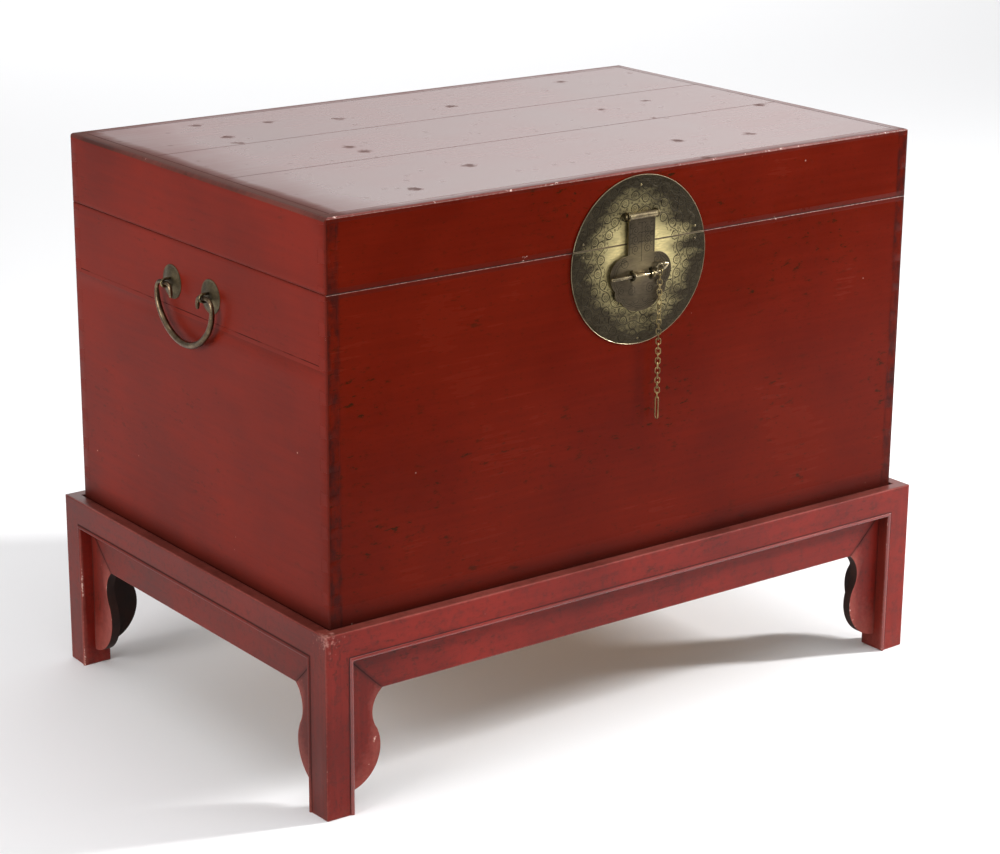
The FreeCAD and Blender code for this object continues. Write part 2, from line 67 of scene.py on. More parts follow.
# %% Camera
TURN, TILT, ROLL = math.radians(-37.07), math.radians(17.47), math.radians(0.46)
LOOKS_AT = Vector((0.0096, -0.0072, 0.2816))
DISTANCE = 3.12
SENSOR, LENS = 36, 95.54
SHIFT_X, SHIFT_Y = -0.0018, 0.0013


def placed(name, data):
    """A new object, linked into the scene."""
    made = bpy.data.objects.new(name, data)
    bpy.context.scene.collection.objects.link(made)
    return made


back = Vector((math.sin(TURN) * math.cos(TILT), -math.cos(TURN) * math.cos(TILT), math.sin(TILT)))
level_right = Vector((math.cos(TURN), math.sin(TURN), 0))
level_up = back.cross(level_right)
right = level_right * math.cos(ROLL) + level_up * math.sin(ROLL)
up = level_up * math.cos(ROLL) - level_right * math.sin(ROLL)
facing = Matrix((right, up, back)).transposed().to_quaternion()

camera = placed("camera", bpy.data.cameras.new("camera"))
camera.data.sensor_width = SENSOR
camera.data.lens = LENS
camera.data.shift_x = SHIFT_X
camera.data.shift_y = SHIFT_Y
camera.matrix_world = Matrix.LocRotScale(LOOKS_AT + back * DISTANCE, facing, None)
bpy.context.scene.camera = camera
bpy.context.scene.view_settings.view_transform = "Standard"
print("camera stands at", [round(c, 2) for c in camera.location])

# %% [markdown]
# The studio is a white floor in soft light. Lacquer is a mirror seen at a slant, so what lies round the
# trunk matters as much as the lamps. A white floor alone would make the front milky, so a dark card lies
# before it, to the right, and keeps it a deep red. Only reflections see the card.

# %% Floor and dark card
FLOOR_HALF = 14.0
FLOOR_CORNERS = ((-1, -1), (1, -1), (1, 1), (-1, 1))
CARD_CORNERS = ((-3.0, -0.65), (-6.0, -9.0), (5.0, -9.0), (5.0, -1.9))
CARD_LIFT = 4 * MM


def matt(name, colour):
    """A plain finish for the studio's own surfaces."""
    finish = bpy.data.materials.new(name)
    finish.use_nodes = True
    shader = finish.node_tree.nodes["Principled BSDF"].inputs
    shader["Base Color"].default_value = (*colour, 1)
    shader["Roughness"].default_value = 0.9
    shader["Specular IOR Level"].default_value = 0.2
    return finish


def stage_mesh(name, corners, finish):
    """A flat four-cornered piece of the studio."""
    mesh = bpy.data.meshes.new(name)
    mesh.from_pydata(corners, [], [(0, 1, 2, 3)])
    mesh.materials.append(finish)
    made = placed(name, mesh)
    return made


floor_corners = [(x * FLOOR_HALF, y * FLOOR_HALF, 0) for x, y in FLOOR_CORNERS]
stage_mesh("floor", floor_corners, matt("white paper", (0.86, 0.86, 0.87)))
card_corners = [(x, y, CARD_LIFT) for x, y in CARD_CORNERS]
card = stage_mesh("dark card", card_corners, matt("dark cloth", (0.02, 0.02, 0.02)))
for kind in ("camera", "diffuse", "shadow", "transmission", "volume_scatter"):
    setattr(card, "visible_" + kind, False)
print("floor is", 2 * FLOOR_HALF, "m wide, and only glossy rays see the card:", card.visible_glossy)

# %% [markdown]
# Five soft panels light the trunk: a ceiling, a narrow window at the right that draws the shadows, a weak
# one low in front for the brass, and one each for the left end and the ground behind. The camera sees
# none of them.


# %% Lamps
def lamp(name, place, looks_at, width, height, power):
    """A soft panel of light that the camera doesn't see, in metres and watts."""
    data = bpy.data.lights.new(name, "AREA")
    data.shape = "RECTANGLE"
    data.size = width
    data.size_y = height
    data.energy = power
    made = placed(name, data)
    made.location = place
    made.rotation_euler = (Vector(looks_at) - Vector(place)).to_track_quat("-Z", "Y").to_euler()
    made.visible_camera = False


lamp("ceiling panel", (-0.1, -0.6, 3.4), (-0.1, -0.4, 0), 3.6, 3.4, 53)
lamp("right window", (3.0, -1.45, 1.75), (0, -0.2, 0.35), 0.3, 1.0, 165)
lamp("low front panel", (1.9, -2.3, 0.9), (0, -0.2, 0.3), 0.9, 0.6, 5)
lamp("left panel", (-3.6, -0.4, 1.5), (0, 0, 0.3), 2.0, 1.6, 84)
lamp("back panel", (3.0, 5.5, 3.2), (2.8, 5.0, 0), 6.0, 4.0, 150)

# %% [markdown]
# The air of the studio, the finishes and the patterns that repeat are all graphs of nodes in Blender.
# Building one node by node in Python is wordy, so this class has the few moves that all of them share:
# add a node with its settings, and give each of its inputs a value or another node's output.


# %% Graphs of nodes
class Graph:
    """A tree of nodes that is put together one step at a time."""

    def __init__(self, tree):
        self.tree = tree

    def put(self, socket, value):
        """Set a socket to a number or colour, or link it to another node's output."""
        if isinstance(value, bpy.types.NodeSocket):
            self.tree.links.new(value, socket)
        elif socket.type == "RGBA":
            socket.default_value = (*value, 1)
        else:
            socket.default_value = value

    def step(self, kind, values, **settings):
        """Add a node, set or link its inputs and return its outputs."""
        node = self.tree.nodes.new(kind)
        for label, value in settings.items():
            setattr(node, label, value)
        for label, value in values.items():
            self.put(node.inputs[label], value)
        return node.outputs

    def maths(self, operation, *values, **settings):
        """One step of arithmetic on outputs or numbers."""
        return self.step("ShaderNodeMath", dict(enumerate(values)), operation=operation, **settings)[0]

    def vectors(self, operation, *values):
        """One step of arithmetic on vectors, with a vector and a number as outputs."""
        return self.step("ShaderNodeVectorMath", dict(enumerate(values)), operation=operation)

    def slice(self, value, low, high, to_low=0.0, to_high=1.0):
        """Map low..high to to_low..to_high, and hold the ends."""
        span = {"From Min": low, "From Max": high, "To Min": to_low, "To Max": to_high}
        return self.step("ShaderNodeMapRange", {"Value": value} | span)["Result"]


print("moves of a graph:", [name for name in vars(Graph) if not name.startswith("_")])

# %% [markdown]
# The air is what lights the trunk from all round. The camera sees it pure white. In reflections it glows
# at the back right, which whitens the lid's top towards that corner, and everywhere else it is weaker.

# %% Studio air
AIR = 0.4
GLOW_SIDE = Vector((0.85, 0.5, 0.15)).normalized()
GLOW_FROM, GLOW_LEAST, GLOW_MOST = 0.78, 0.45, 1.6

world = bpy.data.worlds.new("studio air")
bpy.context.scene.world = world
world.use_nodes = True
air = Graph(world.node_tree)
direction = air.step("ShaderNodeTexCoord", {})["Generated"]
towards = air.vectors("DOT_PRODUCT", direction, GLOW_SIDE)["Value"]
glow = air.slice(towards, GLOW_FROM, 1.0, GLOW_LEAST, GLOW_MOST)
rays = air.step("ShaderNodeLightPath", {})
mirrored = air.step("ShaderNodeMix", {"Factor": rays["Is Glossy Ray"], "A": AIR, "B": glow})["Result"]
seen = air.step("ShaderNodeMix", {"Factor": rays["Is Camera Ray"], "A": mirrored, "B": 1.0})["Result"]
sky = world.node_tree.nodes["Background"].inputs
air.put(sky["Color"], (1, 1, 1))
air.put(sky["Strength"], seen)
print("air at strength", AIR, "with", len(world.node_tree.nodes), "nodes")

# %% [markdown]
# A finish is such a graph: stretch the coordinates along the grain, take noise there, turn a slice of its
# range into a mask, and mix two colours by the mask. A photograph of wood could be wrapped round the
# boards instead, but it would break at every joint. These finishes read Object coordinates, in metres, so
# that the pattern runs on over the joints just as one coat of lacquer does.


# %% Finish helpers
class Finish(Graph):
    """A material that is put together one step at a time."""

    def __init__(self, name):
        self.material = bpy.data.materials.new(name)
        self.material.use_nodes = True
        super().__init__(self.material.node_tree)
        self.shader = self.tree.nodes["Principled BSDF"].inputs
        self.where = self.step("ShaderNodeTexCoord", {})["Object"]

    def moved(self, scale, shift=(0, 0, 0)):
        """Object coordinates, stretched and shifted."""
        values = {"Vector": self.where, "Scale": scale, "Location": shift}
        return self.step("ShaderNodeMapping", values)["Vector"]

    def noise(self, where, scale, detail=3.0, roughness=0.55):
        """Soft noise from 0 to 1, mostly near 0.5."""
        values = {"Vector": where, "Scale": scale, "Detail": detail, "Roughness": roughness}
        return self.step("ShaderNodeTexNoise", values)["Fac"]

    def spots(self, shift, scale):
        """Distance from the nearest of many scattered points."""
        values = {"Vector": self.moved((1, 1, 1), shift), "Scale": scale}
        return self.step("ShaderNodeTexVoronoi", values)["Distance"]

    def attribute(self, name):
        """A value that the mesh carries."""
        return self.step("ShaderNodeAttribute", {}, attribute_name=name)["Fac"]

    def sum(self, *weighted):
        """Weighted sum of outputs: pairs of output and weight."""
        total = 0.0
        for value, weight in weighted:
            total = self.maths("MULTIPLY_ADD", value, weight, total)
        return total

    def times(self, first, second):
        """Product of two outputs."""
        return self.maths("MULTIPLY", first, second)

    def distance(self, centre, scale=(1, 1, 1)):
        """How far a point lies from a centre."""
        return self.vectors("LENGTH", self.moved(scale, tuple(-c for c in centre)))["Value"]

    def along(self, letter):
        """Where a point lies along one axis."""
        return self.step("ShaderNodeSeparateXYZ", {"Vector": self.where})[letter]

    def axis(self, letter):
        """How far a point lies from the middle plane of one axis, on either side."""
        return self.maths("ABSOLUTE", self.along(letter))

    def mix(self, mask, below, above):
        """The colour above, where the mask is 1, over the colour below."""
        return self.step("ShaderNodeMix", {"Factor": mask, 6: below, 7: above}, data_type="RGBA")[2]

    def closed(self, sockets, height, depth):
        """Set the shader's sockets, add a fine relief of that depth in metres, and return the material."""
        for label, value in sockets.items():
            self.put(self.shader[label], value)
        relief = self.step("ShaderNodeBump", {"Distance": depth, "Height": height})
        self.put(self.shader["Normal"], relief["Normal"])
        return self.material


print("moves of a finish:", [name for name in vars(Finish) if not name.startswith("_")])

# %% [markdown]
# Old red lacquer isn't one red. Under the coat the grain shows as dark streaks, and hands polish some
# places more than others. So the coat starts as two reds mixed by streaks and clouds. Whatever happens to
# it later is a stain: a colour laid where a mask says, duller than the coat and sunk a little into it.

# %% The coat of lacquer
CREAM = (0.66, 0.44, 0.37)
SOOT = (0.022, 0.005, 0.004)
PORE = (0.026, 0.006, 0.0004)
BROWN = (0.07, 0.03, 0.022)
DARK_RUB = (0.05, 0.010, 0.007)
PALE_RUB = (0.30, 0.075, 0.058)
COAT_DEPTH = 0.4 * MM


def drawn_out(share):
    """Scales of a pattern that is drawn out along one axis, for each axis."""
    return {"x": (share, 1, 1), "y": (1, share, 1), "z": (1, 1, share)}


ALONG, SHORT = drawn_out(0.05), drawn_out(0.35)


class Coat(Finish):
    """Red lacquer over wood whose grain runs along one axis."""

    def __init__(self, name, grain, reds):
        super().__init__(name)
        self.grain = grain
        self.streak = self.noise(self.moved(ALONG[grain]), 170, 5, 0.6)
        self.cloud = self.noise(self.where, 7, 4)
        self.crumbs = self.noise(self.where, 230, 3, 0.6)
        self.tone = self.sum((self.streak, 0.32), (self.cloud, 0.68))
        self.colour = self.mix(self.slice(self.tone, 0.38, 0.62), *reds)
        self.dulled = []
        self.sunk = []

    def stain(self, mask, colour, dull=0.0, depth=0.0):
        """Lay a colour where the mask is 1. The coat is duller there, and sunk by a share of its depth."""
        self.colour = self.mix(mask, self.colour, colour)
        self.dulled.append((mask, dull))
        self.sunk.append((mask, -depth))

    def between(self, letter, low, high, fade, strength):
        """1 between two distances from the middle plane of an axis, and 0 a fade outside them."""
        place = self.axis(letter)
        rising = self.slice(place, low - fade, low, 0, strength)
        return self.times(rising, self.slice(place, high, high + fade, 1, 0))

    def dried(self, shine, gloss, uneven=0.1, ripple=1.0):
        """Close the finish: how much it shines, how rough it is at best and at worst, how wavy it lies."""
        rough = self.slice(self.tone, 0.36, 0.64, gloss, gloss + uneven)
        waves = self.noise(self.moved(SHORT[self.grain]), 20, 2)
        sockets = {
            "Base Color": self.colour,
            "Specular IOR Level": shine,
            "Roughness": self.sum((rough, 1.0), *self.dulled),
        }
        height = self.sum((self.streak, 0.05 * ripple), (waves, ripple), *self.sunk)
        return self.closed(sockets, height, COAT_DEPTH)


print("the coat's relief is", COAT_DEPTH / MM, "mm deep")

# %% [markdown]
# Pores open into short dark flecks. On outer corners the coat has chipped to the pale ground, and dirt
# sits in the joints. Beside the joints, in the hollows beside the beads and low down, behind the stand's
# rim, the dark is dirt and painted shade together. The mesh of each wooden piece says where these are: it
# carries the attributes "arris", "joint", "tail" and "hollow", from 0 to 1. Each kind of mark is one
# method that stains the coat, so that a surface's finish reads as the list of what happened to it and of
# the shade painted on it.


# %% Wear and painted shade
class WornCoat(Coat):
    """A coat of lacquer, what years have done to it, and the shade painted on it."""

    def pores(self, strength, shift=(0, 0, 0)):
        """Short dark flecks along the grain, in clusters."""
        short = SHORT[self.grain]
        fine = self.noise(self.moved(short), 430, 3, 0.6)
        coarse = self.noise(self.moved(short, (3, 1, 2)), 165, 4, 0.68)
        cluster = self.slice(self.noise(self.moved((1, 1, 1), shift), 8.5, 4, 0.6), 0.47, 0.62)
        self.stain(self.slice(fine, 0.6, 0.68, 0, 0.5 * strength), PORE)
        self.stain(self.times(self.slice(coarse, 0.575, 0.64, 0, strength), cluster), PORE, depth=0.05)

    def dents(self, scale, size, strength):
        """Dark bruises of ragged outline; size is a share of the space between them."""
        rough_edge = self.noise(self.where, 130, 4, 0.65)
        ragged = self.sum((self.spots((7, 3, 5), scale), 1.0), (rough_edge, 0.3))
        self.stain(self.slice(ragged, size + 0.1, size + 0.2, strength, 0), BROWN, 0.7 * strength, 0.2)

    def nicks(self):
        """A few pale specks where something sharp has struck."""
        specks = self.slice(self.spots((1, 2, 3), 26), 0.018, 0.03, 1, 0)
        few = self.slice(self.noise(self.where, 12, 3), 0.5, 0.6, 0, 0.6)
        self.stain(self.times(specks, few), CREAM)

    def dirt(self, low, high):
        """Dust and soot, with painted shade, that fade upwards between two heights."""
        height = self.sum((self.axis("Z"), 1.0), (self.cloud, 12 * MM))
        self.stain(self.slice(height, low, high, 0.85, 0), SOOT, 0.2)

    def joints(self, grime_and_shade, broken=0.0):
        """Cracks along the joints, broken up where the coat still bridges them.

        Grime and painted shade darken the coat beside the joints and in the hollows.
        """
        joint = self.attribute("joint")
        # This darkening beside the joints and in the hollows is grime and painted shade.
        self.stain(self.slice(joint, 0.15, 0.95, 0, grime_and_shade), SOOT, 0.2)
        self.stain(self.slice(self.attribute("hollow"), 0.3, 0.8, 0, 0.8), SOOT, 0.3)
        bridge = self.slice(self.noise(self.where, 16, 3), 0.44, 0.54, 1 - broken, 1)
        self.stain(self.times(self.slice(joint, 0.86, 0.96, 0, 0.9), bridge), SOOT, 0.5)

    def edges(self, rub, rubbed, chips):
        """Corners rubbed to another tone, and chipped to the pale ground in places."""
        arris = self.attribute("arris")
        worn = self.sum((arris, 0.8), (self.cloud, 0.35), (self.crumbs, 0.3))
        self.stain(self.slice(worn, 0.85, 1.2, 0, rubbed), rub, 0.15)
        patches = self.noise(self.moved((1, 1, 1), (9, 4, 2)), 30, 2)
        broken = self.sum((self.crumbs, 0.5), (patches, 0.55))
        chipped = self.sum((arris, 0.75), (broken, 1.0))
        nibbled = self.sum((self.attribute("tail"), 0.75), (broken, 1.0))
        self.stain(self.times(self.slice(nibbled, 1.43 - chips, 1.48 - chips), 0.8), CREAM, 0.25, 0.3)
        self.stain(self.slice(chipped, 1.36 - chips, 1.41 - chips), CREAM, 0.25, 0.3)

    def border(self, place, reach, edge, strength):
        """The brown wear that grows towards the edge of a board, from a reach before it."""
        ragged = self.sum((place, 1.0), (self.cloud, 0.7 * reach), (self.streak, 0.2 * reach))
        worn = self.slice(ragged, edge - 0.5 * reach, edge + 0.4 * reach, 0, strength)
        self.stain(worn, BROWN, 0.9)


print("kinds of wear:", [name for name in vars(WornCoat) if not name.startswith("_")])

# %% [markdown]
# The trunk and the stand were lacquered at different times: the trunk is a deep red, the stand pinker and
# more worn. The front shows most pores, and the ends of the dovetails show as a dark mottled band down
# its corners. A pale line runs along the lid's seam, where the coat has flaked.

# %% Lacquer of the trunk
rim_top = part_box("rail_front")[1].z
lid_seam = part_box("front_board")[1].z
lid_low, lid_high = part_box("lid_front_board")
top_of_lid = lid_high.z
half_width = lid_high.x
half_depth = -lid_low.y
corner_band = -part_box("left_end_lower")[1].x
HAIR = 0.2 * MM
# Above the stand's rim the trunk darkens over 30 mm: dust, and painted shade where it stands in the rim.
LOW_SHADE_AND_DIRT = (rim_top, rim_top + 30 * MM)
TRUNK_RED = ((0.088, 0.0042, 0.0003), (0.117, 0.0060, 0.0005))
# The ends get a lighter red than the front: painted light, for the light that falls on them.
LIT_END_RED = ((0.108, 0.0075, 0.0028), (0.158, 0.0110, 0.0042))


def front_coat():
    """Front and back: pores, dark dovetail ends and a pale line along the seam."""
    coat = WornCoat("lacquer of the front", "x", TRUNK_RED)
    coat.pores(1.0, (0.2, 0.0, 0.15))
    mottle = coat.slice(coat.noise(coat.moved((1, 1, 0.5)), 85, 4, 0.7), 0.4, 0.62, 0.05, 0.75)
    coat.stain(coat.times(coat.between("X", corner_band, half_width, 3 * MM, 1.0), mottle), SOOT)
    coat.dirt(*LOW_SHADE_AND_DIRT)
    coat.joints(0.15)
    coat.edges(DARK_RUB, 0.4, -0.04)
    crumbly = coat.slice(coat.crumbs, 0.35, 0.6, 0.15, 0.6)
    coat.stain(coat.between("Z", lid_seam + 0.1 * MM, lid_seam + 0.8 * MM, HAIR, 0.8), SOOT)
    seam_line = coat.between("Z", lid_seam - 0.7 * MM, lid_seam - 0.35 * MM, HAIR, 0.7)
    coat.stain(coat.times(seam_line, crumbly), CREAM)
    rim = top_of_lid - 1.6 * MM
    rim_line = coat.between("Z", rim - 0.5 * MM, rim, HAIR, 0.8)
    coat.stain(coat.times(rim_line, crumbly), CREAM)
    coat.nicks()
    return coat.dried(shine=0.055, gloss=0.24, uneven=0.04, ripple=0.2)


def end_coat():
    """The two ends: an even coat that still bridges the joint of the planks in places, in a red lightened
    as painted light.
    """
    coat = WornCoat("lacquer of the ends", "y", LIT_END_RED)
    coat.pores(0.4)
    coat.dirt(*LOW_SHADE_AND_DIRT)
    coat.joints(0.0, broken=0.9)
    coat.edges(DARK_RUB, 0.5, -0.02)
    coat.nicks()
    return coat.dried(shine=0.07, gloss=0.3)


front_lacquer = front_coat()
end_lacquer = end_coat()
print("rim of the stand at mm:", round(rim_top / MM, 1), "seam of the lid:", round(lid_seam / MM, 1))

# %% [markdown]
# The lid's top has a duller coat, with round bruises, and has worn brown towards its edges. It is painted
# darker at the left than at the right, as shade against the sheen at the right. Its round edges have
# finishes of their own: they are brown at the ends, and bright at the front and back, where every hand has
# lifted the lid.

# %% Lacquer of the lid's top
TOP_RED = ((0.085, 0.014, 0.009), (0.11, 0.015, 0.010))
EDGE_RED = ((0.05, 0.014, 0.010), (0.12, 0.030, 0.022))


def top_coat():
    """The lid's top: bruised, unevenly dull, worn towards its edges and painted darker towards the left."""
    coat = WornCoat("lacquer of the lid's top", "x", TOP_RED)
    coat.joints(0.1)
    # The brown is wear at both ends, made wider and stronger at the left as painted shade.
    leftwards = coat.times(coat.along("X"), -1.0)
    coat.border(leftwards, 110 * MM, half_width, 0.2)
    coat.border(leftwards, 32 * MM, half_width, 0.8)
    coat.border(coat.along("X"), 22 * MM, half_width, 0.25)
    coat.border(coat.axis("Y"), 16 * MM, half_depth, 0.4)
    coat.dents(15, 0.09, 0.75)
    coat.dents(37, 0.10, 0.35)
    coat.edges(DARK_RUB, 0.3, -0.02)
    return coat.dried(shine=0.27, gloss=0.24, uneven=0.05, ripple=0.0)


def top_edge_coat():
    """The round edges of the lid's top at its ends, where the red has gone brown."""
    coat = WornCoat("worn edge of the lid's top", "x", EDGE_RED)
    coat.pores(0.8)
    coat.joints(0.2)
    coat.edges(DARK_RUB, 0.4, 0.02)
    return coat.dried(shine=0.15, gloss=0.55, uneven=0.2, ripple=0.6)


def top_arris_coat():
    """The top's front and back edge, polished by every hand that has lifted the lid."""
    coat = WornCoat("polished edge of the lid's top", "x", TRUNK_RED)
    coat.joints(0.2)
    coat.edges(PALE_RUB, 0.3, 0.0)
    return coat.dried(shine=0.5, gloss=0.2, uneven=0.1, ripple=0.2)


lid_top_lacquer = top_coat()
lid_end_edge = top_edge_coat()
lid_front_edge = top_arris_coat()
print("half width and depth of the lid in mm:", round(half_width / MM, 1), round(half_depth / MM, 1))

# %% [markdown]
# The stand's left and right sides are painted browner and darker than its front, as shade. Its corners
# are rubbed pale, dirt and painted shade fill the quirks beside the beads, and the near corner has been
# knocked. One function makes the coat for each direction of the grain, so that the pores run along posts
# and rails alike. What nobody sees never got any lacquer: it is dull, and painted near black as shade.

# %% Lacquer of the stand
near_corner = tuple(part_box("leg_front_left")[0].xy) + (rim_top,)
STAND_RED = ((0.120, 0.0068, 0.0034), (0.208, 0.0128, 0.0066))
# The stand's left and right sides get a browner, darker red: painted shade.
SHADED_SIDE_RED = ((0.080, 0.0085, 0.0052), (0.150, 0.0145, 0.0085))
# The top of the rim is a browner, darker red than the rest of the stand, with more chips.
RIM_RED = ((0.09, 0.016, 0.011), (0.19, 0.040, 0.030))
KNOCKED = (0.42, 0.20, 0.165)


def stand_coat(name, grain, reds, chips):
    """Lacquer of the stand, for pieces whose grain runs along one axis."""
    coat = WornCoat(name, grain, reds)
    coat.pores(0.6)
    coat.stain(coat.slice(coat.noise(coat.where, 120, 5, 0.7), 0.5, 0.68, 0, 0.5), DARK_RUB)
    # Grime and painted shade beside the joints and in the hollows of the stand.
    coat.joints(0.6)
    coat.edges(PALE_RUB, 0.75, chips)
    ragged = coat.sum((coat.distance(near_corner), 1.0), (coat.crumbs, 90 * MM))
    coat.stain(coat.slice(ragged, 40 * MM, 58 * MM, 0.6, 0), KNOCKED, 0.2)
    coat.nicks()
    return coat.dried(shine=0.2, gloss=0.34, uneven=0.14)


def bead_coat():
    """The beads, which every sleeve has polished."""
    coat = WornCoat("polished bead of the stand", "x", STAND_RED)
    coat.edges(PALE_RUB, 0.25, -0.02)
    return coat.dried(shine=0.75, gloss=0.12, uneven=0.06, ripple=0.1)


def undercoat(name, colour, darker, roughness):
    """Dull wood that never got its lacquer, in the colours given; dark ones paint shade as well."""
    finish = Finish(name)
    blotch = finish.noise(finish.where, 45, 5, 0.65)
    sockets = {
        "Base Color": finish.mix(finish.slice(blotch, 0.35, 0.65), darker, colour),
        "Roughness": finish.slice(blotch, 0.3, 0.7, roughness, roughness + 0.15),
        "Specular IOR Level": 0.2,
    }
    return finish.closed(sockets, blotch, 0.3 * MM)


stand_lacquer = {g: stand_coat("lacquer of the stand along " + g, g, STAND_RED, 0.04) for g in "xyz"}
shaded_side_lacquer = {g: stand_coat("brown side of the stand along " + g, g, SHADED_SIDE_RED, -0.02) for g in "xyz"}
brown_rim_top = stand_coat("worn rim of the stand", "x", RIM_RED, 0.05)
bead_lacquer = bead_coat()
# The inner faces of the stand are bare wood painted near black: bare wood and painted shade together.
shaded_bare_inside = undercoat("inside of the stand", (0.03, 0.011, 0.008), (0.014, 0.006, 0.005), 0.6)
print("finishes so far:", len(bpy.data.materials))

# %% [markdown]
# Inside, such a trunk is bare wood: tan, with the growth rings drawn out into long lines. The rings of a
# whole log could be modelled and cut by the boards, but only the long lines count here, so noise that is
# stretched along the grain does as well.

# %% Bare wood
PALE_WOOD, TAN_WOOD = (0.56, 0.35, 0.18), (0.40, 0.22, 0.10)
DARK_LINE, OPEN_JOINT = (0.25, 0.12, 0.05), (0.06, 0.03, 0.015)


def bare(name, grain):
    """Wood without any finish."""
    finish = Finish(name)
    rings = finish.noise(finish.moved(ALONG[grain]), 60, 6, 0.6)
    fine = finish.noise(finish.moved(ALONG[grain]), 420, 3)
    colour = finish.mix(finish.slice(rings, 0.35, 0.65), TAN_WOOD, PALE_WOOD)
    colour = finish.mix(finish.slice(fine, 0.5, 0.7, 0, 0.5), colour, DARK_LINE)
    colour = finish.mix(finish.slice(finish.attribute("joint"), 0.75, 0.98, 0, 0.7), colour, OPEN_JOINT)
    sockets = {"Base Color": colour, "Roughness": finish.slice(fine, 0.3, 0.7, 0.55, 0.75)}
    return finish.closed(sockets, finish.sum((rings, 0.4), (fine, 0.6)), 0.3 * MM)


bare_wood = {grain: bare("camphor wood along " + grain, grain) for grain in "xy"}
print("bare wood:", [finish.name for finish in bare_wood.values()])

# %% [markdown]
# A CAD edge is perfectly sharp, and two CAD boards that touch look like one. A joiner eases every edge
# with a stroke of the plane, and that fine round is what makes a joint show as a hairline: a V between
# two rounds. So each wooden piece is copied. A CAD mesh is loose triangles, so the copy's points are
# merged first, and flat triangles are melted together.

# %% Copies of the woodwork
JOIN = 0.002 * MM
FLAT_ANGLE = math.radians(0.6)
ROUND = "bevel_weight_edge"
BOARD_WORDS = ("board", "plank", "left_end", "right_end")

boards = [node for node in frame["nodes"] if any(word in node for word in BOARD_WORDS)]
wooden = bodies["stand"] + boards


def joined_copy(node):
    """The node's faces as a bmesh without loose edges or needless triangles."""
    shape = bmesh.new()
    shape.from_mesh(frame["nodes"][node].data)
    bmesh.ops.remove_doubles(shape, verts=shape.verts, dist=JOIN)
    bmesh.ops.dissolve_limit(shape, angle_limit=FLAT_ANGLE, verts=shape.verts, edges=shape.edges)
    shape.edges.layers.float.new(ROUND)
    return shape


joined = {node: joined_copy(node) for node in wooden}
print("wooden pieces:", len(wooden), "edges:", sum(len(shape.edges) for shape in joined.values()))

# %% [markdown]
# Only an edge that can be seen gets a round. A probe just off each of its two faces tells if another
# piece lies against it: two open faces make an outer corner, one makes a joint, and none is hidden.

# %% Seen edges
PROBE_IN = 0.4 * MM
PROBE_OUT = 0.1 * MM
TOUCH = 0.16 * MM

surfaces = {node: BVHTree.FromBMesh(shape) for node, shape in joined.items()}
boxes = {node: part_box(node) for node in wooden}


def is_covered(node, point):
    """True if another wooden piece lies against this point."""
    for other in wooden:
        low, high = boxes[other]
        if other == node or any(point[i] < low[i] - MM or point[i] > high[i] + MM for i in range(3)):
            continue
        if surfaces[other].find_nearest(point, TOUCH)[0] is not None:
            return True
    return False


def into_face(loop):
    """The direction from an edge into one of its faces."""
    along = (loop.link_loop_next.vert.co - loop.vert.co).normalized()
    return loop.face.normal.cross(along)


def seen_faces(node, edge):
    """How many of the edge's two faces are in the open."""
    middle = (edge.verts[0].co + edge.verts[1].co) / 2
    probes = []
    for loop in edge.link_loops:
        probes.append(middle + into_face(loop) * PROBE_IN + loop.face.normal * PROBE_OUT)
    return sum(not is_covered(node, probe) for probe in probes)


print("surfaces to probe:", len(surfaces))

# %% [markdown]
# The lacquer has to know where corners, joints and hollows are, so each vertex stores how near it is to
# one. A large face has no vertices to store that on, so it is cut along every edge, as far from it as the
# mark reaches.

# %% Marks of wear
WEAR_BAND = 5.0 * MM
HOLLOW_BAND = 2.2 * MM


def nearness(points, edges, reach):
    """For each point, 1 on the nearest edge and 0 where that is a reach away or more."""
    best = np.zeros(len(points))
    for start, end in edges:
        line = end - start
        share = np.clip((points - start) @ line / (line @ line), 0, 1)
        gap = np.linalg.norm(points - start - share[:, None] * line, axis=1)
        best = np.maximum(best, 1 - gap / reach)
    return best


def carry(mesh, name, values):
    """Store one number per vertex on the mesh."""
    mesh.attributes.new(name, "FLOAT", "POINT").data.foreach_set("value", np.asarray(values, np.float32))


def bands_of(edge, reach):
    """The planes that run along an edge, a reach away from it in each of its faces."""
    planes = {}
    for loop in edge.link_loops:
        inwards = into_face(loop)
        depth = loop.vert.co.dot(inwards) + reach
        planes[tuple(round(c, 3) for c in inwards) + (round(depth / MM, 1),)] = (inwards * depth, inwards)
    return planes


def cut_bands(shape, planes):
    """Cut the faces along those planes, so that the marks of corners and joints fade out there."""
    for place, across in planes.values():
        everything = shape.verts[:] + shape.edges[:] + shape.faces[:]
        bmesh.ops.bisect_plane(shape, geom=everything, dist=JOIN, plane_co=place, plane_no=across)


print("marks reach mm:", WEAR_BAND / MM, "and in hollows:", HOLLOW_BAND / MM)

# %% [markdown]
# The rounds come from a Bevel modifier, because it can read a width for each edge: here the edge's weight
# is its share of the widest round. A modifier is live, so its result is read back as a plain mesh and the
# object that held it is deleted.

# %% Rounds
ROUND_STEPS = 2
LEAST_LENGTH = 3.0


def evaluated_mesh(name, mesh, add_modifier):
    """The mesh as a modifier leaves it, with nothing live left behind."""
    holder = placed(name, mesh)
    add_modifier(holder)
    ready = holder.evaluated_get(bpy.context.evaluated_depsgraph_get())
    made = bpy.data.meshes.new_from_object(ready)
    bpy.data.objects.remove(holder)
    made.name = name
    return made


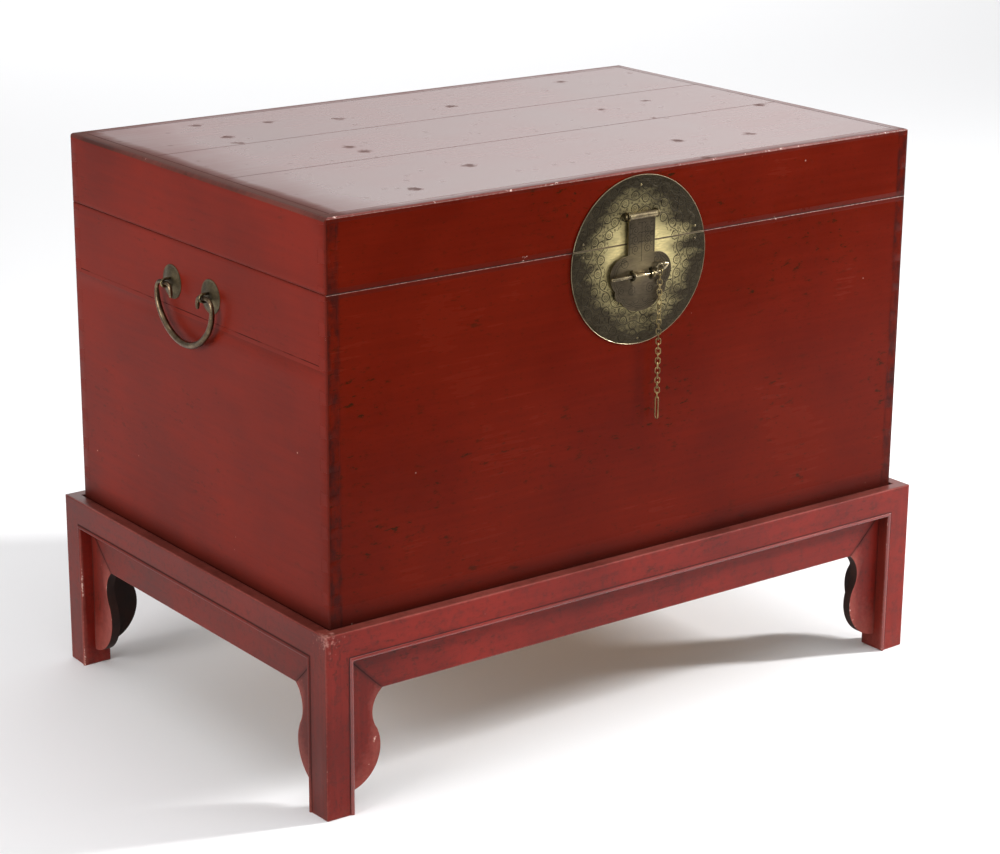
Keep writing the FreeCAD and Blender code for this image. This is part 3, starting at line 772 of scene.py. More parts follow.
def rounded(shape, sizes):
    """The shape with each of those edges rounded by its own size."""
    widest = max(sizes.values())
    weight = shape.edges.layers.float[ROUND]
    for edge, size in sizes.items():
        edge[weight] = size / widest
    mesh = bpy.data.meshes.new("sharp piece")
    shape.to_mesh(mesh)

    def add_rounds(holder):
        bevel = holder.modifiers.new("rounds", "BEVEL")
        bevel.limit_method = "WEIGHT"
        bevel.width = widest
        bevel.segments = ROUND_STEPS
        bevel.use_clamp_overlap = False

    result = bmesh.new()
    result.from_mesh(evaluated_mesh("rounded piece", mesh, add_rounds))
    return result


def add_piece(name, mesh, body, slot, *nodes):
    """Put a finished mesh in the scene, on its body, in place of those CAD nodes."""
    piece = placed(name, mesh)
    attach(piece, body)
    if nodes:
        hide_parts(*nodes)
    return piece


print("a round has", ROUND_STEPS, "steps")

# %% [markdown]
# Now one function eases a piece: it sorts the edges, rounds them, cuts the bands, gives each face its
# finish and stores the marks. Short edges at joints are dovetails, which wear less than long joints do,
# so they get a mark of their own.

# %% Ease a piece
CORNER_ANGLE = math.radians(25)
SMOOTH_ANGLE = math.radians(15)
TAIL_LENGTH = 36 * MM
WIDE = 300 * MM * MM
kept_share = []


def sorted_edges(node, rounds):
    """The ends of a piece's edges by kind, the round that each gets, and the bands along them."""
    marks = {"arris": [], "joint": [], "tail": [], "hollow": []}
    sizes, bands = {}, {}
    for edge in joined[node].edges:
        angle = edge.calc_face_angle_signed() if edge.is_manifold else 0
        length = edge.calc_length()
        ends = tuple(np.array(v.co) for v in edge.verts)
        if angle < -CORNER_ANGLE and length > TAIL_LENGTH:
            marks["hollow"].append(ends)
            bands.update(bands_of(edge, HOLLOW_BAND))
        open_faces = seen_faces(node, edge) if angle >= CORNER_ANGLE else 0
        if open_faces == 0:
            continue
        is_corner, is_tail = open_faces == 2, length < TAIL_LENGTH
        marks["arris" if is_corner else "tail" if is_tail else "joint"].append(ends)
        if not is_tail:
            bands.update(bands_of(edge, WEAR_BAND))
        is_large = is_corner and all(face.calc_area() > WIDE for face in edge.link_faces)
        size = rounds[0] if is_large else rounds[1] if is_corner else rounds[2]
        if size and length > LEAST_LENGTH * size:
            sizes[edge] = size
    return marks, sizes, bands


def eased(node, rounds, finishes, slot, finish_of):
    """A copy of a wooden piece with eased edges, and with its corners and joints marked.

    The rounds are those of long outer corners, of small ones, and of joints."""
    solid = joined[node].calc_volume()
    marks, sizes, bands = sorted_edges(node, rounds)
    shape = rounded(joined[node], sizes)
    cut_bands(shape, bands)
    shape.normal_update()
    kept_share.append(shape.calc_volume() / solid)
    for face in shape.faces:
        face.smooth = True
        face.material_index = finish_of(face)
    for edge in shape.edges:
        edge.smooth = edge.is_manifold and edge.calc_face_angle() < SMOOTH_ANGLE
    mesh = bpy.data.meshes.new(node + "_eased")
    shape.to_mesh(mesh)
    points = np.array([v.co for v in shape.verts])
    for mark, lines in marks.items():
        if mark in ("joint", "tail") and not rounds[2]:
            lines.clear()
        carry(mesh, mark, nearness(points, lines, HOLLOW_BAND if mark == "hollow" else WEAR_BAND))
    for finish in finishes:
        mesh.materials.append(finish)
    add_piece(node + "_eased", mesh, body_of_node[node], slot, node)
    return sum(len(lines) for lines in marks.values())


print("edges shorter than", TAIL_LENGTH / MM, "mm at a joint are dovetails")

# %% [markdown]
# The stand's pieces have their grain along their length: posts upright, rails and aprons along the side
# they close. The lacquer runs over the mitres of posts and rails and hides them, but has cracked along
# those of the aprons. Only what looks outwards was lacquered: the inner sides are dull, and painted near
# black as shade, and the top of the rim is browner and darker.

# %% The stand
OUTER_X = 395 * MM
OUTER_Y = 255 * MM
BEAD_PROUD = 1.3 * MM
STAND_ROUNDS = (1.5 * MM, 0.3 * MM)
APRON_JOINT = 0.2 * MM
LOOKS_UP, LOOKS_OUT, LEVEL = 0.7, 0.3, 0.5
LONG_SIDES, SHADED_INSIDE, RIM_TOP, BEADS, SHADED_SHORT_SIDES = range(5)
bead_y = -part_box("leg_front_left")[0].y - BEAD_PROUD


def stand_side(face, is_leg):
    """Which finish a face of the stand gets, by where it lies and where it looks."""
    c, n = face.calc_center_median(), face.normal
    if abs(c.y) > bead_y:
        return BEADS
    if n.z > LOOKS_UP and c.z > rim_top - MM:
        return RIM_TOP
    out_x = n.x * c.x > LOOKS_OUT * abs(c.x) and abs(c.x) > OUTER_X
    out_y = n.y * c.y > LOOKS_OUT * abs(c.y) and abs(c.y) > OUTER_Y
    if out_x or out_y or (is_leg and abs(n.z) < LEVEL):
        return SHADED_SHORT_SIDES if abs(n.x) > abs(n.y) else LONG_SIDES
    return SHADED_INSIDE


marked = 0
for node in bodies["stand"]:
    low, high = boxes[node]
    sides = high - low
    grain = "xyz"[max(range(3), key=lambda i: sides[i])]
    is_leg = node.startswith("leg")
    rounds = STAND_ROUNDS + (0.0 if node.startswith(("leg", "rail")) else APRON_JOINT,)
    finishes = [stand_lacquer[grain], shaded_bare_inside, brown_rim_top, bead_lacquer, shaded_side_lacquer[grain]]
    marked += eased(node, rounds, finishes, "stand_lacquer", lambda face: stand_side(face, is_leg))
print("marked edges of the stand:", marked)

# %% [markdown]
# The carcase boards are lacquered outside and bare inside. The faces that look into the trunk are picked
# by where they lie: on or within the box that the bottom planks and the lid's underside close. Front and
# back show the ends of the dovetails, which drink the lacquer, so their finish darkens a board's
# thickness from the corner. The lid's planks lie in a frame of boards whose top edges have worn.

# %% The trunk and its lid
inner_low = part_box("bottom_plank_front")[0]
inner_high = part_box("bottom_plank_back")[1]
under_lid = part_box("lid_plank_middle")[0].z
BOARD_ROUNDS = (0.6 * MM, 0.3 * MM)
PLANK_JOINT, BOARD_JOINT = 0.7 * MM, 0.2 * MM
BOTTOM_ROUNDS = (0.4 * MM,) * 3
TOP_EDGE = 6 * MM
FLAT_TOP, LEANS_UP = 0.95, 0.12
ENDS, BARE, FRONT_BACK, LID_TOP, TOP_END_EDGE, TOP_FRONT_EDGE = range(6)


def board_side(face):
    """Which finish a face of the trunk gets, by where it lies and where it looks."""
    c, n = face.calc_center_median(), face.normal
    within_x = inner_low.x - HAIR < c.x < inner_high.x + HAIR
    within_y = inner_low.y - HAIR < c.y < inner_high.y + HAIR
    faces_front = abs(n.y) > abs(n.x)
    if within_x and within_y and c.z < under_lid + HAIR:
        return BARE
    if n.z > FLAT_TOP and c.z > top_of_lid - TOP_EDGE:
        return LID_TOP
    if n.z > LEANS_UP and c.z > top_of_lid - TOP_EDGE:
        return TOP_FRONT_EDGE if faces_front else TOP_END_EDGE
    return FRONT_BACK if faces_front else ENDS


marked = 0
for node in boards:
    grain = "y" if "left" in node or "right" in node else "x"
    if node.startswith("bottom"):
        marked += eased(node, BOTTOM_ROUNDS, [bare_wood[grain]], "bare_wood", lambda face: 0)
        continue
    rounds = BOARD_ROUNDS + (PLANK_JOINT if "plank" in node else BOARD_JOINT,)
    finishes = [end_lacquer, bare_wood[grain], front_lacquer, lid_top_lacquer, lid_end_edge, lid_front_edge]
    marked += eased(node, rounds, finishes, "trunk_lacquer", board_side)
print("marked edges of the trunk:", marked)
print("least and most wood kept:", round(min(kept_share), 4), round(max(kept_share), 4))

# %% [markdown]
# The fittings are sheet and bar brass that has gone olive brown, with the raw gold back only where hands
# rub. Brass is a metal, so it has no colour but that of its reflections: the finish mixes a dull and a
# clean metal colour, and where it is dull it is rougher too.

# %% Brass
DULL_BRASS = (0.052, 0.041, 0.026)
WORN_BRASS = (0.42, 0.33, 0.16)


def brass(name, dull, clean, low, high, roughness):
    """Brass with a patina; noise between low and high turns it from dull to clean."""
    finish = Finish(name)
    stains, fine = finish.noise(finish.where, 90, 5, 0.65), finish.noise(finish.where, 900, 2)
    tone = finish.sum((stains, 0.7), (fine, 0.3))
    clear = finish.slice(tone, low, high)
    sockets = {
        "Base Color": finish.mix(clear, dull, clean),
        "Metallic": 1.0,
        "Roughness": finish.slice(clear, 0, 1, roughness + 0.14, roughness),
    }
    return finish.closed(sockets, tone, 0.12 * MM)


aged_brass = brass("aged brass", DULL_BRASS, WORN_BRASS, 0.44, 0.72, 0.3)
leaf_brass = brass("brass of the hinge leaves", (0.11, 0.085, 0.05), (0.25, 0.19, 0.105), 0.38, 0.66, 0.32)
rubbed_brass = brass("rubbed brass", (0.13, 0.10, 0.06), (0.42, 0.34, 0.19), 0.42, 0.64, 0.22)
bail_brass = brass("brass of the bails", (0.075, 0.052, 0.032), (0.24, 0.17, 0.10), 0.42, 0.64, 0.24)
rosette_brass = brass("brass of the rosettes", (0.07, 0.052, 0.030), (0.17, 0.135, 0.075), 0.4, 0.68, 0.36)
pin_brass = brass("brass of the pin", (0.10, 0.08, 0.05), (0.36, 0.29, 0.17), 0.42, 0.62, 0.16)
rim_brass = brass("filed rim", (0.22, 0.175, 0.11), (0.42, 0.34, 0.21), 0.4, 0.6, 0.32)
chain_brass = brass("brass of the chain", (0.13, 0.095, 0.042), (0.40, 0.30, 0.13), 0.4, 0.6, 0.28)
dark_line = brass("dirt in the engraving", (0.018, 0.014, 0.009), (0.04, 0.032, 0.02), 0.4, 0.6, 0.5)
print("brasses:", [finish.name for finish in bpy.data.materials if "brass" in finish.name])

# %% [markdown]
# On the lock plate and the hasp the patina has a pattern: sleeves and fingers keep the middle of the lock
# gold, and the rim stays dark. The finish measures how far a point lies from the plate's centre, and
# noise makes the edge of the gold ragged.

# %% Brass of the lock
plate_low, plate_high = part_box("lock_plate_lower")
PLATE_RADIUS = (plate_high.x - plate_low.x) / 2
plate_centre = Vector((0, plate_low.y, plate_low.z + PLATE_RADIUS))
SPLIT = (plate_high.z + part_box("lock_plate_upper")[0].z) / 2
LIGHTER = 1.9


def plate_brass(name, gold_reach, dull, gold):
    """Brass that is polished gold round the middle of the lock and dark towards the rim."""
    finish = Finish(name)
    far = finish.distance((plate_centre.x, 0, plate_centre.z), (1, 0, 1))
    blotch = finish.noise(finish.moved((0.4, 1, 1)), 48, 4, 0.65)
    grain = finish.noise(finish.moved((0.25, 1, 1)), 700, 3, 0.6)
    edge = finish.sum((far, 1.0), (blotch, 85 * MM), (grain, 12 * MM))
    clear = finish.slice(edge, gold_reach + 66 * MM, gold_reach + 22 * MM)
    tone = finish.slice(finish.sum((blotch, 0.5), (grain, 0.5)), 0.38, 0.66)
    worn = finish.mix(tone, dull, tuple(LIGHTER * c for c in dull))
    golden = finish.times(clear, finish.slice(tone, 0, 1, 0.55, 1))
    sockets = {
        "Base Color": finish.mix(golden, worn, gold),
        "Metallic": 1.0,
        "Roughness": finish.slice(finish.sum((clear, 0.5), (grain, 0.5)), 0.2, 0.8, 0.32, 0.48),
    }
    return finish.closed(sockets, finish.sum((grain, 0.4), (blotch, 1.0)), 0.25 * MM)


plate_finish = plate_brass("lock plate brass", 59 * MM, (0.045, 0.035, 0.021), (1.0, 0.84, 0.40))
hasp_finish = plate_brass("hasp brass", 12 * MM, (0.075, 0.058, 0.037), (0.36, 0.28, 0.14))
print("lock plate radius in mm:", round(PLATE_RADIUS / MM, 1), "height:", round(plate_centre.z / MM, 1))

# %% [markdown]
# Sheet brass is cut and filed: the lock plate's two halves, the hasp and the hinge leaves are copies of
# the CAD pieces with a filed edge all round. The hasp's barrel is sheet rolled round the rod, and rubbed
# bright.

# %% Sheet brass
SHARP = math.radians(38)
PLATE_FILED, HASP_FILED = 0.3 * MM, 0.25 * MM
barrel_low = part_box("hasp_rod")[0].z - MM
ABOVE_ALL = 1.0


def filed(node, round_size, finish, polished_above=ABOVE_ALL):
    """A copy of a sheet brass piece with filed edges, rubbed bright above some height."""
    shape = joined_copy(node)
    sharp = [e for e in shape.edges if e.is_manifold and e.calc_face_angle_signed() > SHARP]
    shape = rounded(shape, {e: round_size for e in sharp if e.calc_length() > LEAST_LENGTH * round_size})
    mesh = bpy.data.meshes.new(node + "_filed")
    shape.to_mesh(mesh)
    mesh.shade_smooth()
    mesh.set_sharp_from_angle(angle=SMOOTH_ANGLE)
    mesh.materials.append(finish)
    mesh.materials.append(rubbed_brass)
    for face in mesh.polygons:
        face.material_index = face.center.z > polished_above
    add_piece(node + "_filed", mesh, body_of_node[node], "aged_brass", node)
    return len(mesh.polygons)


plate_faces = [filed(node, PLATE_FILED, plate_finish) for node in ("lock_plate_upper", "lock_plate_lower")]
hasp_faces = filed("hasp", HASP_FILED, hasp_finish, barrel_low)
leaf_faces = [filed(node, PLATE_FILED, leaf_brass) for node in ("hinge_leaves_lower", "hinge_leaves_upper")]
print("faces of plate, hasp and hinge leaves:", sum(plate_faces), hasp_faces, sum(leaf_faces))

# %% [markdown]
# Wire and bar are shapes drawn along a path: a ring of points is carried along it, always square to it,
# and the rings are joined by a skin. What is turned on a lathe is a profile that is spun round an axis,
# which is a row of rings too. Curves with a bevel could make both, but here every ring has a radius of
# its own.

# %% Wire and lathe
RIGHT, FRONT, UP = Vector((1, 0, 0)), Vector((0, -1, 0)), Vector((0, 0, 1))


def ring(centre, first, second, sides):
    """Points round a centre; the lengths of the two directions are the radii."""
    turns = [2 * math.pi * k / sides for k in range(sides)]
    return [centre + first * math.cos(t) + second * math.sin(t) for t in turns]


def skin(rings, closed=False):
    """Points and faces of a bar with those rings as cross-sections."""
    count, sides = len(rings), len(rings[0])
    faces = []
    for i in range(count if closed else count - 1):
        here, there = i * sides, (i + 1) % count * sides
        for k in range(sides):
            following = (k + 1) % sides
            faces.append((here + k, here + following, there + following, there + k))
    if not closed:
        faces.append(tuple(reversed(range(sides))))
        faces.append(tuple(range((count - 1) * sides, count * sides)))
    return [p for points in rings for p in points], faces


def drawn(path, radius, sides=14, closed=False):
    """A round bar along a path. The radius is one number, or one for each point."""
    path = [Vector(p) for p in path]
    count = len(path)
    rings = []
    across = None
    for i, (point, size) in enumerate(zip(path, np.broadcast_to(radius, count).tolist())):
        before = path[i - 1] if closed or i > 0 else path[0]
        after = path[(i + 1) % count] if closed or i < count - 1 else path[-1]
        along = (after - before).normalized()
        if across is None:
            across = along.orthogonal().normalized()
        across = (across - along * across.dot(along)).normalized()
        rings.append(ring(point, across * size, along.cross(across) * size, sides))
    return skin(rings, closed)


def spun(profile, start, axis, sides):
    """A turned piece. The profile is pairs of distance along the axis and radius, in mm."""
    across = axis.orthogonal().normalized() * MM
    other = axis.cross(across)
    return skin([ring(start + axis * along * MM, across * r, other * r, sides) for along, r in profile])


print("a short bar has", len(drawn([Vector(), UP], 1.0)[0]), "points")

# %% [markdown]
# A fitting is often several closed shapes: a pair of staples, or a pin with its eye and leaf. They go
# into one mesh, shaded smooth except where it turns sharply, so that each fitting stays one piece of the
# scene.


# %% Brass fittings
def metal_mesh(name, finish, parts):
    """One mesh of several closed shapes."""
    points, faces = [], []
    for part_points, part_faces in parts:
        base = len(points)
        points.extend(part_points)
        faces.extend(tuple(base + i for i in face) for face in part_faces)
    mesh = bpy.data.meshes.new(name)
    mesh.from_pydata(points, [], faces)
    mesh.shade_smooth()
    mesh.set_sharp_from_angle(angle=SHARP)
    mesh.materials.append(finish)
    return mesh


def fitting(name, finish, parts, body, *nodes):
    """A brass piece of several closed shapes, on its body, in place of those CAD nodes."""
    mesh = metal_mesh(name, finish, parts)
    add_piece(name, mesh, body, "aged_brass", *nodes)
    print(name, "has", len(mesh.polygons), "faces")


print("fittings look sharp where they turn more than", round(math.degrees(SHARP)), "degrees")

# %% [markdown]
# Two staples hold the lock pin in front of the hasp, and two smaller ones hold the hasp's rod at the lid.
# They are plain hairpins of wire, with their legs through the plate. The rod ends in two filed knobs.

# %% Staples, rod loops and rod
rod_low, rod_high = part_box("hasp_rod")
hasp_axis = Vector((0, (rod_low.y + rod_high.y) / 2, (rod_low.z + rod_high.z) / 2))
half_rod = (rod_high.x - rod_low.x) / 2 / MM
PIN_AXIS = Vector((0, -268.5 * MM, 522.5 * MM))
STAPLE_X, STAPLE_INNER, STAPLE_WIRE = 13.4 * MM, 2.4 * MM, 2.4 * MM
LOOP_X, LOOP_INNER, LOOP_WIRE = 20.1 * MM, 2.1 * MM, 2.6 * MM
SINK = 0.4 * MM
KNOB = [(0, 0.5), (0.15, 1.5), (0.6, 2.4), (1.2, 2.95), (1.7, 2.9), (2.2, 2.3), (2.55, 1.8)]


def arc(centre, radius, first, second, start, end, steps):
    """Points on an arc in the plane of two directions, from one angle to another."""
    turns = np.linspace(start, end, steps)
    return [Vector(centre) + (first * math.cos(t) + second * math.sin(t)) * radius for t in turns]


def hairpin(centre, foot, inner, thick, out):
    """Wire bent round a bar: two legs and a half circle."""
    reach = inner + thick / 2
    bend = arc(centre, reach, UP, out, 0, math.pi, 17)
    legs = [Vector(centre) + UP * (side * reach) - out * foot for side in (1, -1)]
    return drawn([legs[0]] + bend + [legs[1]], thick / 2)


def hairpins(axis, x, inner, thick):
    """A pair of hairpins on the lock plate, round a bar that lies along an axis."""
    foot = plate_low.y - axis.y + SINK
    return [hairpin(axis + RIGHT * side * x, foot, inner, thick, FRONT) for side in (-1, 1)]


staples = hairpins(PIN_AXIS, STAPLE_X, STAPLE_INNER, STAPLE_WIRE)
fitting("lock_staple_wires", aged_brass, staples, "trunk", "lock_staples")
loops = hairpins(hasp_axis, LOOP_X, LOOP_INNER, LOOP_WIRE)
fitting("rod_loop_wires", aged_brass, loops, "lid", "hasp_rod_loops")
rod_profile = KNOB + [(2 * half_rod - along, radius) for along, radius in reversed(KNOB)]
rod = spun(rod_profile, hasp_axis - RIGHT * half_rod * MM, RIGHT, 24)
fitting("turned_rod", aged_brass, [rod], "lid", "hasp_rod")

# %% [markdown]
# The lock pin is a stepped bar with a flat leaf for a thumb to push and an eye for the chain. It starts
# on the lathe, with a ring cut near its nose, and its head is a ring and a leaf forged flat.

# %% Lock pin
EYE = Vector((24 * MM, PIN_AXIS.y, 527.5 * MM))
EYE_RADIUS, EYE_WIRE = 4.25 * MM, 1.24 * MM
LEAF_START = EYE + Vector((3.9, 0, 0.4)) * MM
LEAF_TIP = Vector((36 * MM, PIN_AXIS.y, 530.5 * MM))
LEAF_WIDTHS = (3.6, 4.2, 4.3, 4.0, 3.4, 2.6, 1.6, 0.5)
LEAF_THICK, LEAF_SIDES = 1.1, 12
NECK = [Vector((17.6, 0, 0)), Vector((19.0, 0, 0.5)), Vector((20.2, 0, 1.8))]
NECK_RADII = [1.5 * MM, 1.5 * MM, 1.3 * MM]
PIN_PROFILE = [
    (-43.5, 0.6), (-43.3, 1.3), (-42.8, 1.8), (-42.0, 2.1), (-39.6, 2.1), (-39.3, 1.8), (-38.7, 1.8),
    (-38.4, 2.1), (-10.0, 2.1), (-9.3, 1.95), (-9.0, 1.7), (18.4, 1.7), (19.2, 1.2),
]


def leaf():
    """The flat forged leaf, with one half width for each cross-section. It thins where it narrows."""
    across = FRONT.cross((LEAF_TIP - LEAF_START).normalized()) * MM
    rings = []
    for i, width in enumerate(LEAF_WIDTHS):
        centre = LEAF_START.lerp(LEAF_TIP, i / (len(LEAF_WIDTHS) - 1))
        thin = LEAF_THICK * (0.35 + 0.65 * width / max(LEAF_WIDTHS))
        rings.append(ring(centre, across * width, FRONT * thin * MM, LEAF_SIDES))
    return skin(rings)


pin_parts = [
    spun(PIN_PROFILE, PIN_AXIS, RIGHT, 20),
    drawn([PIN_AXIS + place * MM for place in NECK], NECK_RADII, 12),
    drawn(arc(EYE, EYE_RADIUS, RIGHT, UP, 0, 2 * math.pi, 33)[:-1], EYE_WIRE, 10, True),
    leaf(),
]
fitting("turned_lock_pin", pin_brass, pin_parts, "lock_pin", "lock_pin")

# %% [markdown]
# Each end has two round rosettes, an eye post through each, and a bail that hangs in the posts. The bail
# is a forged bar that swells towards the middle, where the hand takes it, and its ends are hooked back
# below the posts. Its centre line is a row of arcs that run into each other.

# %% Handles
END_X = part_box("front_board")[1].x
HANDLE_Z = 510 * MM
POST_Y, POST_OUT, POST_FOOT = 40 * MM, 9.5 * MM, 6.5 * MM
POST_INNER, POST_WIRE = 2.6 * MM, 3.0 * MM
BAIL_END, BAIL_SWELL, BAIL_TIP = 2.3, 1.4, 1.5 * MM
BAIL_DEPTH, SIDE_INSET, SIDE_RADIUS = 49.5, 15.5, 42.0
SHOULDER = 10
ROSETTE = [
    (-0.3, 18.6), (0.3, 19.0), (0.7, 18.8), (0.9, 17.9), (0.7, 17.2), (0.8, 16.6), (1.4, 14.5),
    (2.1, 11.5), (2.7, 8.8), (3.0, 7.4), (3.0, 1.0),
]


def bow(centre, radius, start, end, steps=7):
    """A flat arc between two angles in degrees, as pairs in mm."""
    turns = np.linspace(math.radians(start), math.radians(end), steps)
    return [(centre[0] + radius * math.cos(t), centre[1] + radius * math.sin(t)) for t in turns]


def bail_path():
    """The bail's centre line from tail to tail, as pairs of Y and height above the posts, in mm."""
    bottom = (SIDE_INSET**2 + BAIL_DEPTH**2 - SIDE_RADIUS**2) / (2 * (BAIL_DEPTH - SIDE_RADIUS))
    bottom_z = bottom - BAIL_DEPTH - SHOULDER
    slope = math.degrees(math.atan2(-SHOULDER - bottom_z, SIDE_INSET))
    half = [(28, -14), (28, -11)] + bow((36, -8), 8, 180, 90, 9) + [(40, 0), (44, 0)]
    half += bow((47.5, -SHOULDER), SHOULDER, 90, 0, 9)
    half += bow((SIDE_INSET, -SHOULDER), SIDE_RADIUS, -2, slope, 14)
    half += bow((0, bottom_z), bottom, slope, -90, 8)[1:]
    return half + [(-y, z) for y, z in reversed(half[:-1])]


def bail(side):
    """The bail of one end; side is -1 for the left and 1 for the right."""
    flat = bail_path()
    path = [(side * (END_X + POST_OUT), y * MM, HANDLE_Z + z * MM) for y, z in flat]
    swell = np.clip([(-SHOULDER - z) / BAIL_DEPTH for _, z in flat], 0, 1) ** 0.4
    swell[[0, 1, -2, -1]] = 0
    radii = (BAIL_END + BAIL_SWELL * swell) * MM
    radii[[0, -1]] = BAIL_TIP
    return drawn(path, radii, 16)


rosettes, posts = [], []
for side in (-1, 1):
    out = RIGHT * side
    for y in (-POST_Y, POST_Y):
        seat = Vector((side * END_X, y, HANDLE_Z))
        rosettes.append(spun(ROSETTE, seat, out, 40))
        posts.append(hairpin(seat + out * POST_OUT, POST_FOOT + SINK, POST_INNER, POST_WIRE, out))
fitting("rosettes", rosette_brass, rosettes, "trunk", "handle_rosettes")
fitting("eye_posts", aged_brass, posts, "trunk", "handle_eyes")
for name, side in (("bail_left", -1), ("bail_right", 1)):
    fitting(name + "_forged", bail_brass, [bail(side)], name, name)

# %% [markdown]
# What repeats is left to Geometry Nodes: a tree takes a base mesh, which is one link, one nail or one
# engraved motif, and puts copies of it where they belong. The result is read back as a plain mesh, so
# that nothing live is left.


# %% Geometry Nodes helpers
class Recipe(Graph):
    """A Geometry Nodes tree with named inputs, one of them its finish."""

    def __init__(self, name, **inputs):
        super().__init__(bpy.data.node_groups.new(name, "GeometryNodeTree"))
        face = self.tree.interface
        for label, kind in {"Geometry": "Geometry", **inputs, "Finish": "Material"}.items():
            face.new_socket(label, in_out="INPUT", socket_type="NodeSocket" + kind)
        face.new_socket("Geometry", in_out="OUTPUT", socket_type="NodeSocketGeometry")
        self.given = self.tree.nodes.new("NodeGroupInput").outputs
        self.result = self.tree.nodes.new("NodeGroupOutput").inputs["Geometry"]

    def end(self, geometry):
        """Turn instances into a mesh, give it the finish and close the tree."""
        real = self.step("GeometryNodeRealizeInstances", {"Geometry": geometry})
        values = {"Geometry": real[0], "Material": self.given["Finish"]}
        self.put(self.result, self.step("GeometryNodeSetMaterial", values)[0])
        print("recipe:", self.tree.name, "with", len(self.tree.nodes), "nodes")

    def made(self, name, base, values):
        """Run the tree on a base mesh and return a plain mesh."""
        def add_tree(holder):
            modifier = holder.modifiers.new("recipe", "NODES")
            modifier.node_group = self.tree
            for item in self.tree.interface.items_tree:
                if item.in_out == "INPUT" and item.name in values:
                    modifier[item.identifier] = values[item.name]

        return evaluated_mesh(name, base, add_tree)


def lines_mesh(name, strokes, closed=False):
    """A base mesh of edges only, one chain of edges for each stroke."""
    points, edges = [], []
    for stroke in strokes:
        base = len(points)
        points.extend(stroke)
        edges.extend((base + i, base + i + 1) for i in range(len(stroke) - 1))
        if closed:
            edges.append((base + len(stroke) - 1, base))
    mesh = bpy.data.meshes.new(name)
    mesh.from_pydata(points, edges, [])
    return mesh


print("moves of a recipe:", [name for name in vars(Recipe) if not name.startswith("_")])

# %% [markdown]
# The chain is wire bent into oval links, each turned a quarter from the last. The base mesh is one link's
# centre line; the tree gives it thickness, sets copies down a line, and tilts each a little, with a fixed
# seed. A loose chain also twists, so the links hang askew, but not at the place where the chain bends.

# %% Recipe of the chain
TWIST_LINKS = 4.0
WIRE_SIDES = 8
TILT_SEED = 4

chain_recipe = Recipe(
    "chain of links", Count="Int", First="Int", Top="Vector", Pitch="Float", Wire="Float",
    Bend="Float", Hang="Float", Tilt="Float",
)
given, step, maths = chain_recipe.given, chain_recipe.step, chain_recipe.maths
oval = step("GeometryNodeMeshToCurve", {"Mesh": given["Geometry"]})[0]
thickness = {"Resolution": WIRE_SIDES, "Radius": given["Wire"]}
round_wire = step("GeometryNodeCurvePrimitiveCircle", thickness)[0]
link = step("GeometryNodeCurveToMesh", {"Curve": oval, "Profile Curve": round_wire})[0]

number = step("GeometryNodeInputIndex", {})[0]
drop = step("ShaderNodeCombineXYZ", {"Z": maths("MULTIPLY", number, given["Pitch"])})[0]
spot = chain_recipe.vectors("SUBTRACT", given["Top"], drop)[0]
dots = step("GeometryNodePoints", {"Count": given["Count"], "Position": spot})[0]

nth = maths("ADD", number, given["First"])
quarters = maths("MULTIPLY", nth, math.pi / 2)
from_bend = maths("ABSOLUTE", maths("SUBTRACT", nth, given["Bend"]))
twist = maths("DIVIDE", from_bend, TWIST_LINKS, use_clamp=True)
heading = maths("ADD", quarters, maths("MULTIPLY", twist, given["Hang"]))
turn = step("ShaderNodeCombineXYZ", {"Z": heading})[0]
span = {"Min": (-1, -1, -1), "Max": (1, 1, 1), "Seed": TILT_SEED}
loose = step("FunctionNodeRandomValue", span, data_type="FLOAT_VECTOR")[0]
lean = step("ShaderNodeVectorMath", {0: loose, "Scale": given["Tilt"]}, operation="SCALE")[0]
turned = chain_recipe.vectors("ADD", turn, lean)[0]
links = step("GeometryNodeInstanceOnPoints", {"Points": dots, "Instance": link, "Rotation": turned})[0]
chain_recipe.end(links)

# %% [markdown]
# The chain hangs from the pin's eye in two lengths, one for each of its bodies, and ends in a long loop.
# The second length goes on with the count of the first, so that the quarter turns and the twist run
# through.

# %% Chain
LINK_LENGTH, LINK_WIDTH, LINK_WIRE, LINK_PITCH = 6.0 * MM, 3.9 * MM, 1.2 * MM, 5.5 * MM
LOOP_LENGTH, LOOP_WIDTH = 24 * MM, 3.6 * MM
CHAIN_TOP = Vector((24, -268.5, 522)) * MM
LINKS_ABOVE, LINKS_BELOW = 8, 18
CHAIN = {
    "Pitch": LINK_PITCH, "Wire": LINK_WIRE / 2, "Bend": LINKS_ABOVE - 0.5, "Hang": math.pi / 4,
    "Tilt": math.radians(5), "Finish": chain_brass,
}


def oval_link(length, width):
    """The centre line of a link, upright in the YZ plane."""
    reach = (width + LINK_WIRE) / 2
    straight = UP * (length - width) / 2
    upper = arc(straight, reach, -FRONT, UP, 0, math.pi, 10)
    lower = arc(-straight, reach, -FRONT, UP, math.pi, 2 * math.pi, 10)
    return upper + lower


link_line = lines_mesh("link", [oval_link(LINK_LENGTH, LINK_WIDTH)], True)
for name, count, first in (("chain_upper", LINKS_ABOVE, 0), ("chain_lower", LINKS_BELOW, LINKS_ABOVE)):
    length = {"Count": count, "First": first, "Top": CHAIN_TOP - UP * LINK_PITCH * first}
    mesh = chain_recipe.made(name + "_links", link_line, CHAIN | length)
    add_piece(name + "_links", mesh, name, "aged_brass", name)
    print(name, "has", count, "links and", len(mesh.polygons), "faces")
loop_low, loop_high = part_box("chain_end_loop")
loop_line = [(loop_low + loop_high) / 2 + p for p in oval_link(LOOP_LENGTH, LOOP_WIDTH)]
long_loop = drawn(loop_line, LINK_WIRE / 2, 10, True)
fitting("end_loop", chain_brass, [long_loop], "chain_lower", "chain_end_loop")

